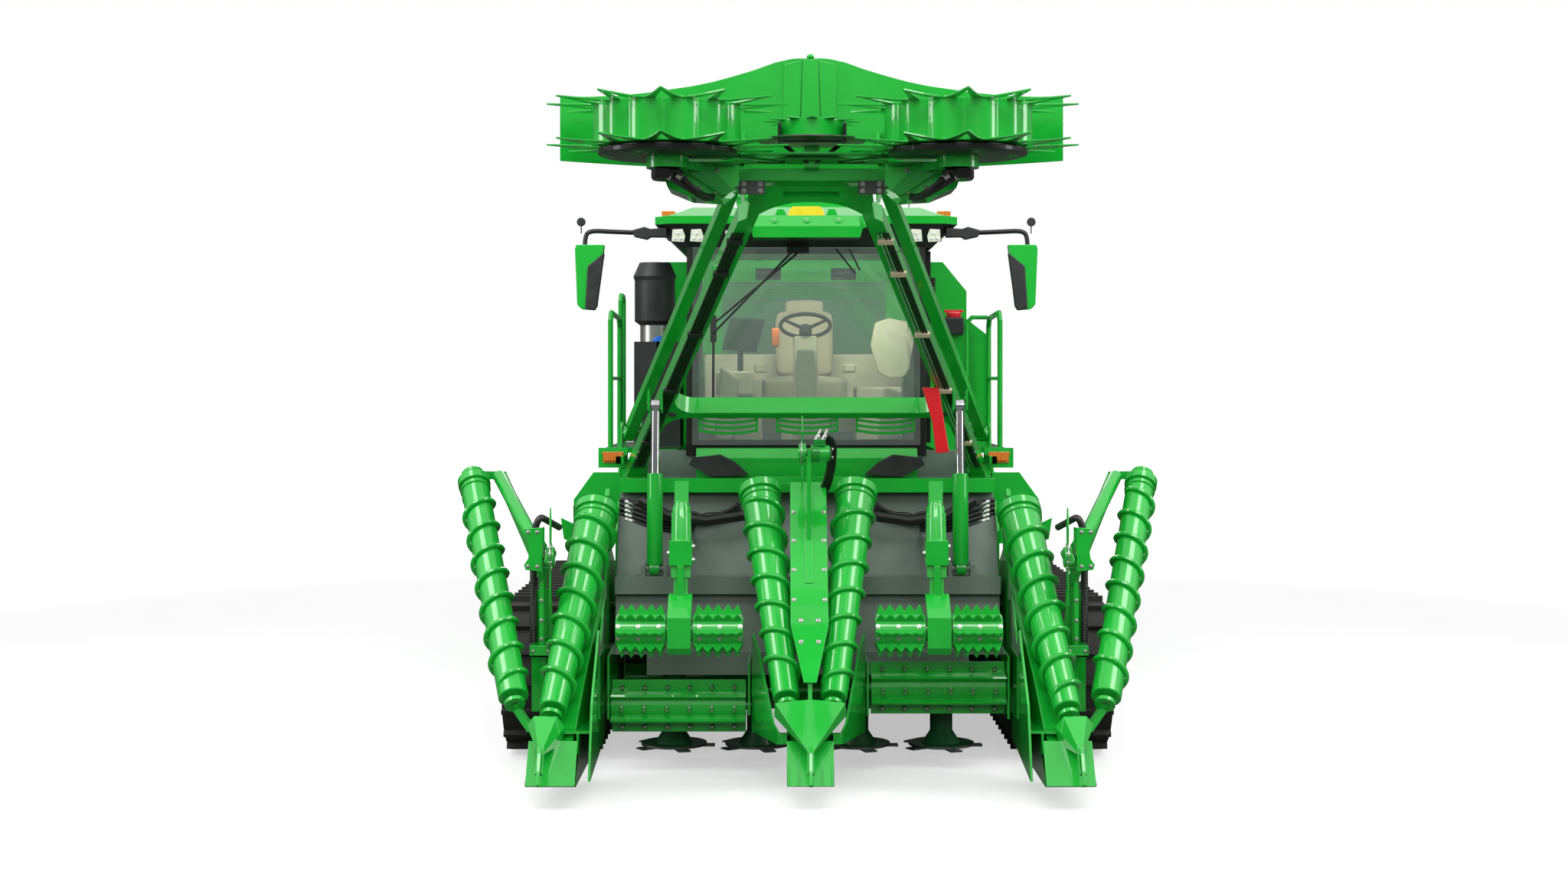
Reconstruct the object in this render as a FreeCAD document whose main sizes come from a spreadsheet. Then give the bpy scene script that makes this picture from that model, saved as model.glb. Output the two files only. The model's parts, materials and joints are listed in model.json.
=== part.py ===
"""Tracked two-row sugarcane harvester, modelled as separate sub-parts.

All lengths are millimetres.  Every sub-part is drawn in one datum: X across the machine
(positive towards its own left side), Y backwards from the plane of the crop-divider tips,
Z up from the ground.  Each finished sub-part is then placed by the sheet's TipY, which puts
the origin on the ground at the middle of the whole machine's box.

Most sub-parts are PartDesign bodies made by the Piece class below: each call adds one
sketch and one feature, and every size that comes from the sheet stays bound to its cell.
Scrolls, hoses and long bent tubes have no such feature that stays light, so they are
Part::Feature solids made from the same sizes.
"""
import FreeCAD, Part
import math
import os

import Sketcher

V = FreeCAD.Vector
X_AXIS = V(1, 0, 0)
Y_AXIS = V(0, 1, 0)
Z_AXIS = V(0, 0, 1)

doc = FreeCAD.newDocument("SugarcaneHarvester")
sheet = doc.addObject("Spreadsheet::Sheet", "Dims")

DIMENSIONS = [
    # whole machine
    ("TipY", -6634, "divider tips, from the middle of the machine"),
    ("Plate", 14, "structural plate"),
    ("Fit", 1, "gap between a pin and its bore, and between neighbours in one frame"),
    ("TieHole", 25, "radius of the tie-down holes"),
    # tracks
    ("TrackCentre", 1630, "track centre line from the middle plane"),
    ("TrackWidth", 600, "shoe width"),
    ("TrackFront", 1690, "front of the track"),
    ("TrackLength", 3700, "overall length of the track"),
    ("TrackHeight", 1000, "overall height of the track"),
    ("ShoePitch", 190, "distance from one shoe to the next"),
    ("GrouserHeight", 38, "height of a shoe's bar"),
    # frame
    ("WallX", 1215, "outer face of the throat's side walls"),
    ("WallFront", 1780, "front edge of the walls above the feed rollers"),
    ("RailHigh", 1420, "top of the frame rails"),
    ("RailLow", 1180, "underside of the frame rails"),
    ("BodyRear", 8350, "rear end of the frame"),
    ("BeamFront", 2150, "front face of the beam under the windscreen"),
    ("DeckZ", 1945, "top of the walkways"),
    ("DeckHalf", 1375, "half width over the walkways"),
    ("RailTop", 2880, "top of the hand rails"),
    ("EngineBed", 1500, "top of the engine's cross members"),
    # cab
    ("CabHalf", 800, "half width of the cab"),
    ("CabFront", 2480, "foot of the windscreen"),
    ("CabRear", 4150, "rear wall of the cab"),
    ("CabTop", 3300, "underside of the roof"),
    ("GlassLean", 90, "how far the windscreen leans back at its top"),
    ("Pillar", 70, "cab pillar width"),
    ("RoofHalf", 1010, "half width of the roof"),
    ("DoorFront", 2700, "front edge of the door"),
    ("DoorRear", 3450, "hinge edge of the door"),
    # engine bay
    ("BayHalf", 1230, "half width of the engine cover"),
    ("BayFront", 4330, "front of the engine cover"),
    ("BayRear", 7230, "rear of the engine cover"),
    ("BayTop", 3300, "top of the engine cover"),
    # topper
    ("BoomPivotX", 1180, "boom foot from the middle plane"),
    ("BoomPivotY", 2600, "boom foot pivot"),
    ("BoomPivotZ", 1750, "boom foot pivot height"),
    ("BoomTopX", 290, "boom top from the middle plane"),
    ("BoomReach", 2500, "pivot to pivot, forwards"),
    ("BoomRise", 1715, "pivot to pivot, upwards"),
    ("BoomWidth", 95, "width of a boom arm"),
    ("BoomDepth", 120, "depth of a boom arm"),
    ("LinkShift", 250, "upper link pivots behind the boom pivots"),
    ("LinkLift", 290, "upper link pivots above the boom pivots"),
    ("LinkFootX", 1207, "upper link foot from the middle plane"),
    ("LinkTopX", 325, "upper link top from the middle plane"),
    ("DrumX", 750, "gathering drum centre"),
    ("DrumY", -620, "gathering drum centre"),
    ("DrumLow", 3609, "lower star plate"),
    ("DrumHigh", 3820, "upper star plate"),
    ("DrumWall", 350, "radius of the drum wall"),
    ("DrumSpike", 625, "radius over the spikes"),
    ("Spikes", 12, "spikes on a star plate"),
    ("CutterBladeY", -250, "axis of the topping cutter"),
    ("HoodHalf", 1350, "half width of the deflector"),
    ("HoodBack", 300, "deepest point of the deflector's curve"),
    ("HoodSag", 500, "depth of the deflector's curve"),
    ("HoodLow", 3580, "lower edge of the deflector"),
    ("HoodEnd", 3935, "top of the deflector at its ends"),
    ("HoodPeak", 4220, "top of the deflector in the middle"),
    # dividers
    ("DividerY", 2450, "lift pivot of an outer divider"),
    ("DividerZ", 900, "lift pivot height"),
    ("CentreY", 1490, "lift pivot of the centre divider"),
    ("CentreZ", 1000, "lift pivot height of the centre divider"),
    # crop rollers
    ("KnockX", 765, "middle of a knockdown roller"),
    ("KnockY", 940, "knockdown roller axis"),
    ("KnockZ", 921, "knockdown roller axis height"),
    ("KnockTooth", 160, "radius over the knockdown teeth"),
    ("FinY", 1300, "finned roller axis"),
    ("FinLeft", 534, "height of the left finned roller"),
    ("FinRight", 424, "height of the right finned roller"),
    ("LifterY", 2130, "butt lifter axis"),
    ("CutterY", 1640, "base cutter axes"),
    ("CutterZ", 130, "base cutter discs"),
    # lift cylinders
    ("LiftX", 955, "lift cylinder from the middle plane"),
    # extractor and elevator
    ("TowerY", 8010, "axis of the primary extractor"),
    ("TowerRadius", 740, "outer radius of the extractor tower"),
    ("TowerTop", 3100, "top of the extractor tower"),
    ("SlewY", 8900, "elevator turntable centre"),
    ("SlewZ", 1020, "underside of the turntable"),
    ("ElevatorLength", 5400, "elevator from foot to head shaft"),
    ("ElevatorHalf", 460, "half width of the elevator"),
]
for row, (alias, number, meaning) in enumerate(DIMENSIONS, start=1):
    sheet.set(f"A{row}", meaning)
    sheet.set(f"B{row}", str(number))
    sheet.setAlias(f"B{row}", alias)
doc.recompute()


class Size(float):
    """A number that remembers the formula it came from, so that a property can be bound."""

    def __new__(cls, number, text):
        size = super().__new__(cls, number)
        size.text = text
        return size

    def join(self, other, sign, turned=False):
        """Apply one arithmetic sign to the number and to the formula alike."""
        left, right = (other, self) if turned else (self, other)
        number = {"+": lambda a, b: a + b, "-": lambda a, b: a - b,
                  "*": lambda a, b: a * b, "/": lambda a, b: a / b}[sign](
                      float(left), float(right))
        return Size(number, f"({text_of(left)} {sign} {text_of(right)})")

    def __add__(self, other):
        return self.join(other, "+")

    def __radd__(self, other):
        return self.join(other, "+", True)

    def __sub__(self, other):
        return self.join(other, "-")

    def __rsub__(self, other):
        return self.join(other, "-", True)

    def __mul__(self, other):
        return self.join(other, "*")

    def __rmul__(self, other):
        return self.join(other, "*", True)

    def __truediv__(self, other):
        return self.join(other, "/")

    def __neg__(self):
        return self.join(-1, "*")


def text_of(number):
    """A number or a Size, as it is written in a formula."""
    return number.text if isinstance(number, Size) else f"({float(number)})"


class Sizes:
    """The sheet's cells by name."""

    def __getattr__(self, alias):
        return Size(sheet.get(alias), f"Dims.{alias}")


D = Sizes()
SUBPARTS = []


def bind(obj, prop, number):
    """Set a property, and bind it where the number comes from the sheet."""
    if isinstance(number, Size):
        obj.setExpression(prop, number.text)
    elif prop.startswith("Constraints["):
        obj.setDatum(int(prop[12:-1]), float(number))
    elif "." in prop:
        holder, axis = prop.rsplit(".", 1)
        place = FreeCAD.Placement(getattr(obj, holder.split(".")[0]))
        setattr(place.Base, axis, float(number))
        setattr(obj, holder.split(".")[0], place)
    else:
        setattr(obj, prop, number)


def publish(obj, label, at=(0, 0, 0)):
    """Name a finished sub-part and put it in the machine's frame."""
    obj.Label = label
    bind(obj, "Placement.Base.x", at[0])
    bind(obj, "Placement.Base.z", at[2])
    bind(obj, "Placement.Base.y", D.TipY + at[1])
    SUBPARTS.append(obj)
    return obj


def feature(label, shape):
    """Publish a solid that no parametric feature fits."""
    obj = doc.addObject("Part::Feature", label)
    obj.Shape = shape if shape.Placement.isIdentity() else Part.makeCompound([shape])
    return publish(obj, label)


def mirror_piece(source, label):
    """Publish the mirror image of a sub-part on the machine's other side."""
    obj = doc.addObject("Part::Mirroring", label)
    obj.Source = source
    obj.Normal = X_AXIS
    obj.Label = label
    SUBPARTS.append(obj)
    return obj


# ---------------------------------------------------------------- parametric pieces
def circle(across, up, radius):
    """A round loop for a sketch."""
    return ("circle", across, up, radius)


def box_loop(low_across, high_across, low_up, high_up):
    """A rectangular loop for a sketch."""
    return [(low_across, low_up), (high_across, low_up), (high_across, high_up),
            (low_across, high_up)]


class Piece:
    """A PartDesign body built up by one call for each feature.

    A sketch lies on a plane parallel to XY, XZ or YZ at a distance start, and the feature
    runs from there in the positive direction of the third axis.  A loop is a circle or a
    list of corners; a corner given as ((across, up), (across, up)) is reached by an arc
    through the first of the two points.
    """

    def __init__(self, label, at=(0, 0, 0), lean=0):
        self.label = label
        self.at = at
        self.lean = lean
        self.body = doc.addObject("PartDesign::Body", label + "_body")
        self.count = 0

    def origin(self, role):
        """One of the body's own planes or axes."""
        return [item for item in self.body.Origin.OriginFeatures if item.Role == role][0]

    def add(self, kind, word):
        """A new feature with a name of its own."""
        self.count += 1
        return self.body.newObject(kind, f"{self.label}_{self.count:02d}_{word}")

    def sketch(self, plane, loops, start, tilt=None):
        """Closed loops on one plane, every point dimensioned from the sketch's origin."""
        drawing = self.add("Sketcher::SketchObject", "sketch")
        drawing.AttachmentSupport = [(self.origin(plane + "_Plane"), "")]
        drawing.MapMode = "FlatFace"
        if tilt:
            drawing.AttachmentOffset = tilt
        elif float(start):
            bind(drawing, "AttachmentOffset.Base.z", -start if plane == "XZ" else start)
        rules = []
        for loop in loops:
            if loop[0] == "circle":
                self.draw_circle(drawing, loop, rules)
            else:
                self.draw_loop(drawing, loop, rules)
        places = drawing.addConstraint([rule for rule, _ in rules])
        for place, (_, number) in zip(places, rules):
            if isinstance(number, Size):
                bind(drawing, f"Constraints[{place}]", number)
        return drawing

    def fix(self, rules, index, point, across, up):
        """Dimension one point of a sketch from its origin."""
        for kind, number in (("DistanceX", across), ("DistanceY", up)):
            rules.append((Sketcher.Constraint(kind, -1, 1, index, point, float(number)),
                          number))

    def draw_circle(self, drawing, loop, rules):
        """One circle with its centre and radius dimensioned."""
        across, up, radius = loop[1:]
        index = drawing.addGeometry(
            Part.Circle(V(across, up, 0), Z_AXIS, float(radius)), False)
        self.fix(rules, index, 3, across, up)
        rules.append((Sketcher.Constraint("Radius", index, float(radius)), radius))

    def draw_loop(self, drawing, loop, rules):
        """One closed loop of lines and arcs."""
        corners = [item[1] if isinstance(item[0], tuple) else item for item in loop]
        ends = []
        for step, item in enumerate(loop):
            here = V(corners[step - 1][0], corners[step - 1][1], 0)
            there = V(corners[step][0], corners[step][1], 0)
            if not isinstance(item[0], tuple):
                index = drawing.addGeometry(Part.LineSegment(here, there), False)
                ends.append((index, 1, 2))
                continue
            middle = V(item[0][0], item[0][1], 0)
            index = drawing.addGeometry(Part.Arc(here, middle, there), False)
            forward = (drawing.getPoint(index, 1) - here).Length < 1e-3
            ends.append((index, 1, 2) if forward else (index, 2, 1))
            passing = drawing.addGeometry(Part.Point(middle), True)
            self.fix(rules, passing, 1, *item[0])
            rules.append((Sketcher.Constraint("PointOnObject", passing, 1, index), 0))
        for step, (index, _, finish) in enumerate(ends):
            follower, start, _ = ends[(step + 1) % len(ends)]
            rules.append((Sketcher.Constraint("Coincident", index, finish, follower, start),
                          0))
            self.fix(rules, index, finish, *corners[step])

    def grow(self, kind, plane, loops, start, length, tilt):
        """A pad or a pocket that runs towards the positive side of its plane."""
        drawing = self.sketch(plane, loops, start, tilt)
        made = self.add("PartDesign::" + kind, kind.lower())
        made.Profile = drawing
        made.Reversed = (plane == "XZ") if kind == "Pad" else (plane != "XZ")
        bind(made, "Length", length)
        return made

    def pad(self, plane, loops, start, length, tilt=None):
        """Add a straight-sided solid."""
        return self.grow("Pad", plane, loops, start, length, tilt)

    def cut(self, plane, loops, start, length, tilt=None):
        """Cut a straight-sided hollow, and check that it cuts something."""
        doc.recompute()
        before = self.body.Shape.Volume
        made = self.grow("Pocket", plane, loops, start, length, tilt)
        doc.recompute()
        if not self.body.Shape.Volume < before - 1:
            raise RuntimeError(f"{made.Name} cuts nothing")
        return made

    def turn(self, plane, profile, axis, start=0, hollow=False):
        """Revolve a profile about its sketch's own H_Axis or V_Axis."""
        drawing = self.sketch(plane, [profile], start)
        made = self.add("PartDesign::Groove" if hollow else "PartDesign::Revolution", "turn")
        made.Profile = drawing
        made.ReferenceAxis = (drawing, [axis])
        made.Angle = 360
        return made

    def bar(self, start, end, width, depth, hollow=False):
        """A straight rectangular bar, or a channel of that shape, between two points."""
        along = end - start
        side = along.cross(Z_AXIS)
        side.normalize()
        frame = FreeCAD.Placement(start, FreeCAD.Rotation(side, along.cross(side), along))
        loop = box_loop(-width / 2, width / 2, -depth / 2, depth / 2)
        return self.grow("Pocket" if hollow else "Pad", "XY", [loop], 0, along.Length, frame)

    def post(self, start, end, radius, hollow=False):
        """A straight round bar, or a bore, between two points."""
        along = end - start
        frame = FreeCAD.Placement(start, FreeCAD.Rotation(Z_AXIS, along))
        return self.grow("Pocket" if hollow else "Pad", "XY", [circle(0, 0, radius)], 0,
                         along.Length, frame)

    def loft(self, plane, sections):
        """Join outlines at several distances with flat or ruled sides."""
        drawings = [self.sketch(plane, [loop], start) for start, loop in sections]
        made = self.add("PartDesign::AdditiveLoft", "loft")
        made.Profile = drawings[0]
        made.Sections = drawings[1:]
        made.Ruled = True
        return made

    def around(self, made, count, axis="Z_Axis"):
        """Repeat features round one of the body's axes."""
        doc.recompute()
        pattern = self.add("PartDesign::PolarPattern", "round")
        pattern.Originals = made
        pattern.Axis = (self.origin(axis), [""])
        pattern.Angle = 360
        bind(pattern, "Occurrences", count if isinstance(count, Size) else int(count))
        self.body.Tip = pattern
        return pattern

    def along(self, made, axis, length, count):
        """Repeat features in a row over a length."""
        doc.recompute()
        pattern = self.add("PartDesign::LinearPattern", "row")
        pattern.Originals = made
        pattern.Direction = (self.origin(axis), [""])
        bind(pattern, "Length", length)
        pattern.Occurrences = int(count)
        self.body.Tip = pattern
        return pattern

    def mirror(self, plane="YZ"):
        """Add the mirror image of everything made so far."""
        doc.recompute()
        pattern = self.add("PartDesign::Mirrored", "mirror")
        pattern.TransformMode = "Whole shape"
        pattern.MirrorPlane = (self.origin(plane + "_Plane"), [""])
        self.body.Tip = pattern
        return pattern

    def done(self):
        """Publish the body under the piece's name."""
        if self.lean:
            self.body.Placement = FreeCAD.Placement(
                V(0, 0, 0), FreeCAD.Rotation(X_AXIS, self.lean))
        return publish(self.body, self.label, self.at)
# ---------------------------------------------------------------- wound and bent shapes
def solid_of(faces):
    """A solid from flat faces, each given by its corner points in order."""
    shell = Part.Shell([Part.Face(Part.makePolygon(list(f) + [f[0]])) for f in faces])
    solid = Part.Solid(shell)
    if solid.Volume < 0:
        solid.reverse()
    return solid


def circle_points(centre, axis, radius, sides, turn=0.0):
    """Corners of a regular polygon round an axis."""
    unit = V(axis)
    unit.normalize()
    side = X_AXIS if abs(unit.x) < 0.9 else Z_AXIS
    first = unit.cross(side)
    first.normalize()
    second = unit.cross(first)
    points = []
    for step in range(sides):
        angle = 2 * math.pi * (step + turn) / sides
        points.append(centre + first * (radius * math.cos(angle))
                      + second * (radius * math.sin(angle)))
    return points


def round_bar(radius, length, base, axis=Z_AXIS, sides=12):
    """A straight round bar, drawn with flats."""
    unit = V(axis)
    unit.normalize()
    low = circle_points(base, unit, radius, sides, 0.5)
    high = [point + unit * length for point in low]
    faces = [low, high]
    for step in range(sides):
        after = (step + 1) % sides
        faces.append([low[step], low[after], high[after], high[step]])
    return solid_of(faces)


def bent_tube(points, radius, sides=8):
    """A tube along straight runs, mitred where they meet."""
    sections = []
    count = len(points)
    for index, here in enumerate(points):
        into = here - points[index - 1] if index else points[1] - here
        into.normalize()
        out = points[index + 1] - here if index + 1 < count else V(into)
        out.normalize()
        normal = into + out
        if sections:
            around = sections[-1]
        else:
            around = circle_points(here, into, radius, sides, 0.5)
        sections.append([point + into * ((here - point).dot(normal) / into.dot(normal))
                         for point in around])
    faces = [sections[0], sections[-1]]
    for here, after in zip(sections, sections[1:]):
        for step in range(sides):
            further = (step + 1) % sides
            faces.append([here[step], here[further], after[further], after[step]])
    return solid_of(faces)


def fused(shapes):
    """One solid from touching shapes."""
    shapes = list(shapes)
    return shapes[0].fuse(shapes[1:]).removeSplitter()


# ---------------------------------------------------------------- tracks
def track(label, side):
    """One closed loop whose outline carries a bar on every shoe."""
    half = D.TrackHeight / 2
    front = D.TrackFront + half
    rear = D.TrackFront + D.TrackLength - half
    bar = D.GrouserHeight
    belt_depth = 45
    bar_width = 28
    low = D.TrackCentre * side - D.TrackWidth / 2
    piece = Piece(label)
    loops = []
    for inset in (bar, bar + belt_depth):
        reach = half - inset
        loops.append([((front - reach, half), (front, inset)), (rear, inset),
                      ((rear + reach, half), (rear, D.TrackHeight - inset)),
                      (front, D.TrackHeight - inset)])
    piece.pad("YZ", loops, low, D.TrackWidth)
    straight = int(float(D.TrackLength - D.TrackHeight) / float(D.ShoePitch))
    span = D.ShoePitch * straight
    rows = [box_loop(front, front + bar_width, 0, bar + 5),
            box_loop(front, front + bar_width, D.TrackHeight - bar - 5, D.TrackHeight)]
    made = piece.pad("YZ", rows, low, D.TrackWidth)
    piece.along([made], "Y_Axis", span, straight + 1)
    round_ends = []
    end_bars = 7
    for step in range(1, end_bars + 1):
        angle = math.pi * step / (end_bars + 1) - math.pi / 2
        for centre, turn in ((float(front), math.pi), (float(rear), 0)):
            out = V(math.cos(angle + turn), math.sin(angle + turn), 0)
            side_way = V(-out.y, out.x, 0) * (bar_width / 2)
            root = V(centre, float(half), 0) + out * (float(half) - float(bar) - 5)
            top = V(centre, float(half), 0) + out * float(half)
            round_ends.append([(p.x, p.y) for p in (root - side_way, root + side_way,
                                                    top + side_way, top - side_way)])
    piece.pad("YZ", round_ends, low, D.TrackWidth)
    return piece.done()


def track_frames():
    """Side frames with sprockets, idlers and lower rollers, and their cross beams."""
    piece = Piece("track_frames")
    half = D.TrackHeight / 2
    centre = D.TrackCentre
    front = D.TrackFront + half
    rear = D.TrackFront + D.TrackLength - half
    belt = D.GrouserHeight + 48
    wheel = half - belt
    roller = 120
    piece.pad("YZ", [box_loop(front, rear, half - 130, half + 90)], centre - 110, 220)
    piece.pad("YZ", [circle(front, half, wheel)], centre - 75, 150)
    piece.pad("YZ", [circle(rear, half, wheel)], centre - 75, 150)
    piece.pad("YZ", [circle(rear, half, 200)], centre + 60, 200)
    reach = wheel + roller + 20
    first = front + reach
    bottom = [piece.pad("YZ", [circle(first, belt + roller, roller)], centre - 110, 220),
              piece.pad("YZ", [box_loop(first - 50, first + 50, belt + roller, half - 120)],
                        centre - 60, 120)]
    piece.along(bottom, "Y_Axis", rear - front - reach * 2, 5)
    inner = D.WallX
    piece.pad("YZ", [box_loop(2700, 3000, 430, half + 90)], inner, centre - inner - 100)
    piece.pad("YZ", [box_loop(4050, 4350, 430, half + 90)], inner - 130,
              centre - inner + 30)
    piece.pad("YZ", [box_loop(4050, 4350, 430, D.RailLow)], inner - 130, 130)
    piece.mirror()
    return piece.done()


track("track_left", 1)
track("track_right", -1)
track_frames()


# ---------------------------------------------------------------- main frame
PIN = 30
KNOCK_LOW = V(float(D.KnockX), float(D.KnockY) + 161, 1217)
KNOCK_HIGH = V(float(D.KnockX), float(D.KnockY) + 228, 1600)


def main_frame():
    """Throat walls, ladder frame, and the bulkhead assembly between the walls."""
    piece = Piece("main_frame")
    wall = D.WallX
    inside = wall - D.Plate - D.Fit
    rail = D.WallX - 135
    # side walls
    piece.pad("YZ", [[(1180, 360), (1180, 740), (D.WallFront, 760), (D.WallFront, 1450),
                      (2000, 1640), (2330, 1640), (2330, 1400), (3980, 1400), (3980, 520),
                      (2400, 330), (1780, 350)]], wall - D.Plate, D.Plate)
    piece.cut("YZ", [circle(3400, 1090, D.TieHole), circle(D.LifterY, 420, 26)],
              wall - D.Plate - 2, D.Plate + 4)
    piece.pad("YZ", [circle(D.DividerY, D.DividerZ, PIN)], wall - 2, 39)
    # ladder: rails, cross members, uprights
    piece.pad("YZ", [box_loop(2300, D.BodyRear, D.RailLow, D.RailHigh)], rail, 120)
    piece.pad("XZ", [box_loop(0, rail + 1, 1200, 1400)], 3850, 200)
    piece.pad("XZ", [box_loop(0, rail + 1, D.RailLow, D.RailHigh)], D.BodyRear - 120, 120)
    piece.pad("XZ", [box_loop(0, rail + 120, D.RailHigh - 1, D.EngineBed)], 4700, 150)
    piece.pad("XZ", [box_loop(0, rail + 120, D.RailHigh - 1, D.EngineBed)], 5700, 150)
    piece.pad("XZ", [box_loop(0, rail + 120, D.RailHigh - 1, 1560)], 6050, 150)
    piece.pad("XZ", [box_loop(rail, rail + 120, D.RailHigh - 1, D.DeckZ - 40)], 3900, 200)
    piece.pad("XZ", [box_loop(0, rail + 120, D.DeckZ - 160, D.DeckZ - 40)], 3900, 200)
    piece.pad("XZ", [box_loop(rail, rail + 120, D.RailHigh - 1, 1900)], 7000, 150)
    piece.pad("XZ", [box_loop(rail, rail + 120, D.RailHigh - 1, 1700)], 2300, 100)
    piece.pad("XZ", [box_loop(0, rail + 120, 1620, 1702)], 2300, 100)
    # beam under the windscreen, and the shelf under the cab's floor
    piece.pad("YZ", [[(D.BeamFront, 1700), (D.BeamFront, 1900), (D.BeamFront + 50, 1962),
                      (2420, 1962), (2420, 1700)]], 0, 720)
    piece.pad("YZ", [box_loop(2400, 2560, 1800, D.DeckZ - 40)], 0, 700)
    # boom feet: pedestal, ears and pin; then the bracket of the upper link
    boom_x = D.BoomPivotX
    boom_y = D.BoomPivotY
    boom_z = D.BoomPivotZ
    piece.pad("YZ", [box_loop(2400, 3000, D.RailHigh - 1, 1640)], boom_x - 99, 179)
    ear = [(boom_y - 75, 1630), (boom_y + 75, 1630), (boom_y + 60, boom_z + 40),
           (boom_y, boom_z + 70), (boom_y - 60, boom_z + 40)]
    piece.pad("YZ", [ear], boom_x - 99, 16)
    piece.pad("YZ", [ear], boom_x + 62, 18)
    piece.pad("YZ", [circle(boom_y, boom_z, PIN)], boom_x - 99, 179)
    link_x = D.LinkFootX
    link_y = boom_y + D.LinkShift
    link_z = boom_z + D.LinkLift
    ear = [(link_y - 90, 1630), (link_y + 90, 1630), (link_y + 60, link_z + 50),
           (link_y, link_z + 80), (link_y - 50, link_z + 50)]
    piece.pad("YZ", [ear], link_x - 90, 14)
    piece.pad("YZ", [ear], link_x + 42, 15)
    piece.pad("YZ", [circle(link_y, link_z, 25)], link_x - 90, 147)
    # base of the elevator's turntable
    piece.pad("YZ", [box_loop(D.BodyRear - 120, D.BodyRear + 29, D.SlewZ - 20,
                              D.RailLow + 5)], 0, 300)
    piece.pad("YZ", [box_loop(D.BodyRear, 8620, D.SlewZ - 20, D.SlewZ - D.Fit)], 0, 300)
    # rear lashing lugs
    rear = D.BodyRear
    piece.pad("YZ", [[(rear - 20, 1230), (rear + 110, 1250), (rear + 110, 1350),
                      (rear - 20, 1370)]], 987.5, 25)
    piece.cut("YZ", [circle(rear + 55, 1300, D.TieHole)], 980, 40)
    # bulkhead that the cane bends over, with its lower and upper beams
    piece.pad("YZ", [[(1560, 700), (1590, 700), (1700, 1150), (2100, 1690), (2100, 1720),
                      (2070, 1720), (1670, 1170)]], 0, inside)
    piece.pad("YZ", [box_loop(1560, 1680, 1075, 1185)], 0, inside)
    piece.pad("YZ", [box_loop(1900, 2110, 1690, 1780)], 0, inside)
    piece.pad("YZ", [box_loop(1540, 1740, 576, 720)], 0, 1000)
    piece.pad("YZ", [box_loop(1200, 1545, 380, 700)], 352, 14)
    # sleeves of the sliding posts
    piece.bar(KNOCK_LOW, KNOCK_HIGH, 116, 116)
    piece.pad("YZ", [box_loop(1150, 1850, 1340, 1440)], D.KnockX - 50, 100)
    step = (KNOCK_HIGH - KNOCK_LOW) * 0.2
    piece.bar(KNOCK_LOW - step, KNOCK_HIGH + step, 88, 88, hollow=True)
    # ears of the lift cylinders
    base_x = D.LiftX
    ear = [(1560, 1180), (1650, 1180), (1640, 1260), (1600, 1280), (1565, 1260)]
    piece.pad("YZ", [ear], base_x - 82, 25)
    piece.pad("YZ", [ear], base_x + 57, 25)
    piece.pad("YZ", [circle(1600, 1233, 20)], base_x - 82, 164)
    # hinge bracket of the centre divider
    piece.pad("YZ", [box_loop(D.CentreY - 40, 1650, D.CentreZ - 45, D.CentreZ + 45)], 45, 15)
    piece.mirror()
    piece.pad("YZ", [circle(D.CentreY, D.CentreZ, 20)], -55, 110)
    for side, height in ((1, D.FinLeft), (-1, D.FinRight)):
        low = 340 if side > 0 else -D.WallX - 5
        piece.cut("YZ", [circle(D.FinY, height, 26)], low, D.WallX - 335)
    return piece.done()


def decks():
    """Walkways beside the cab, the plates over the track fronts and the lamp boxes."""
    piece = Piece("decks")
    deck = D.DeckZ
    half = D.DeckHalf
    piece.pad("XY", [[(860, 2560), (1060, 2560), (1060, 3000), (half, 3000), (half, 4300),
                      (860, 4300)]], deck - 40, 40)
    piece.pad("XZ", [[(1225, 1330), (1225, deck - 40), (half - 5, deck - 40),
                      (half - 5, 1815), (1700, 1600), (1760, 1330)]], 2340, 8)
    piece.pad("YZ", [[(2340, 1330), (2340, 1600), (2700, 1800), (2700, 1560),
                      (2500, 1330)]], 1700, 8)
    piece.pad("YZ", [box_loop(2345, 2685, deck - 90, deck - 40)], 1208, 50)
    piece.pad("XZ", [box_loop(1207, 1403, 1815, 1949)], 2682, 66)
    piece.mirror()
    return piece.done()


def railings():
    """Tubular hand rails standing on the walkways."""
    deck = float(D.DeckZ)
    x = float(D.DeckHalf) - 20
    top = float(D.RailTop)
    shapes = []
    for side in (-1, 1):
        hoop_tube = bent_tube([V(side * x, 3100, deck), V(side * x, 3100, top - 60),
                               V(side * x, 3160, top), V(side * x, 3840, top - 20),
                               V(side * x, 3900, top - 80), V(side * x, 3900, deck)], 19)
        middle = round_bar(14, 800, V(side * x, 3100, 2420), Y_AXIS, 6)
        shapes.append(fused([hoop_tube, middle]))
    shapes.append(bent_tube([V(-x, 4000, deck), V(-x, 4000, 2990), V(-x, 4040, 3035),
                             V(-x, 4230, 3035), V(-x, 4270, 2990), V(-x, 4270, deck)], 19))
    shapes.append(bent_tube([V(1180, 3760, deck), V(1180, 3760, top - 60),
                             V(1220, 3760, top - 15), V(x - 22, 3760, top - 15)], 16))
    return feature("railings", Part.makeCompound(shapes))


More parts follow.
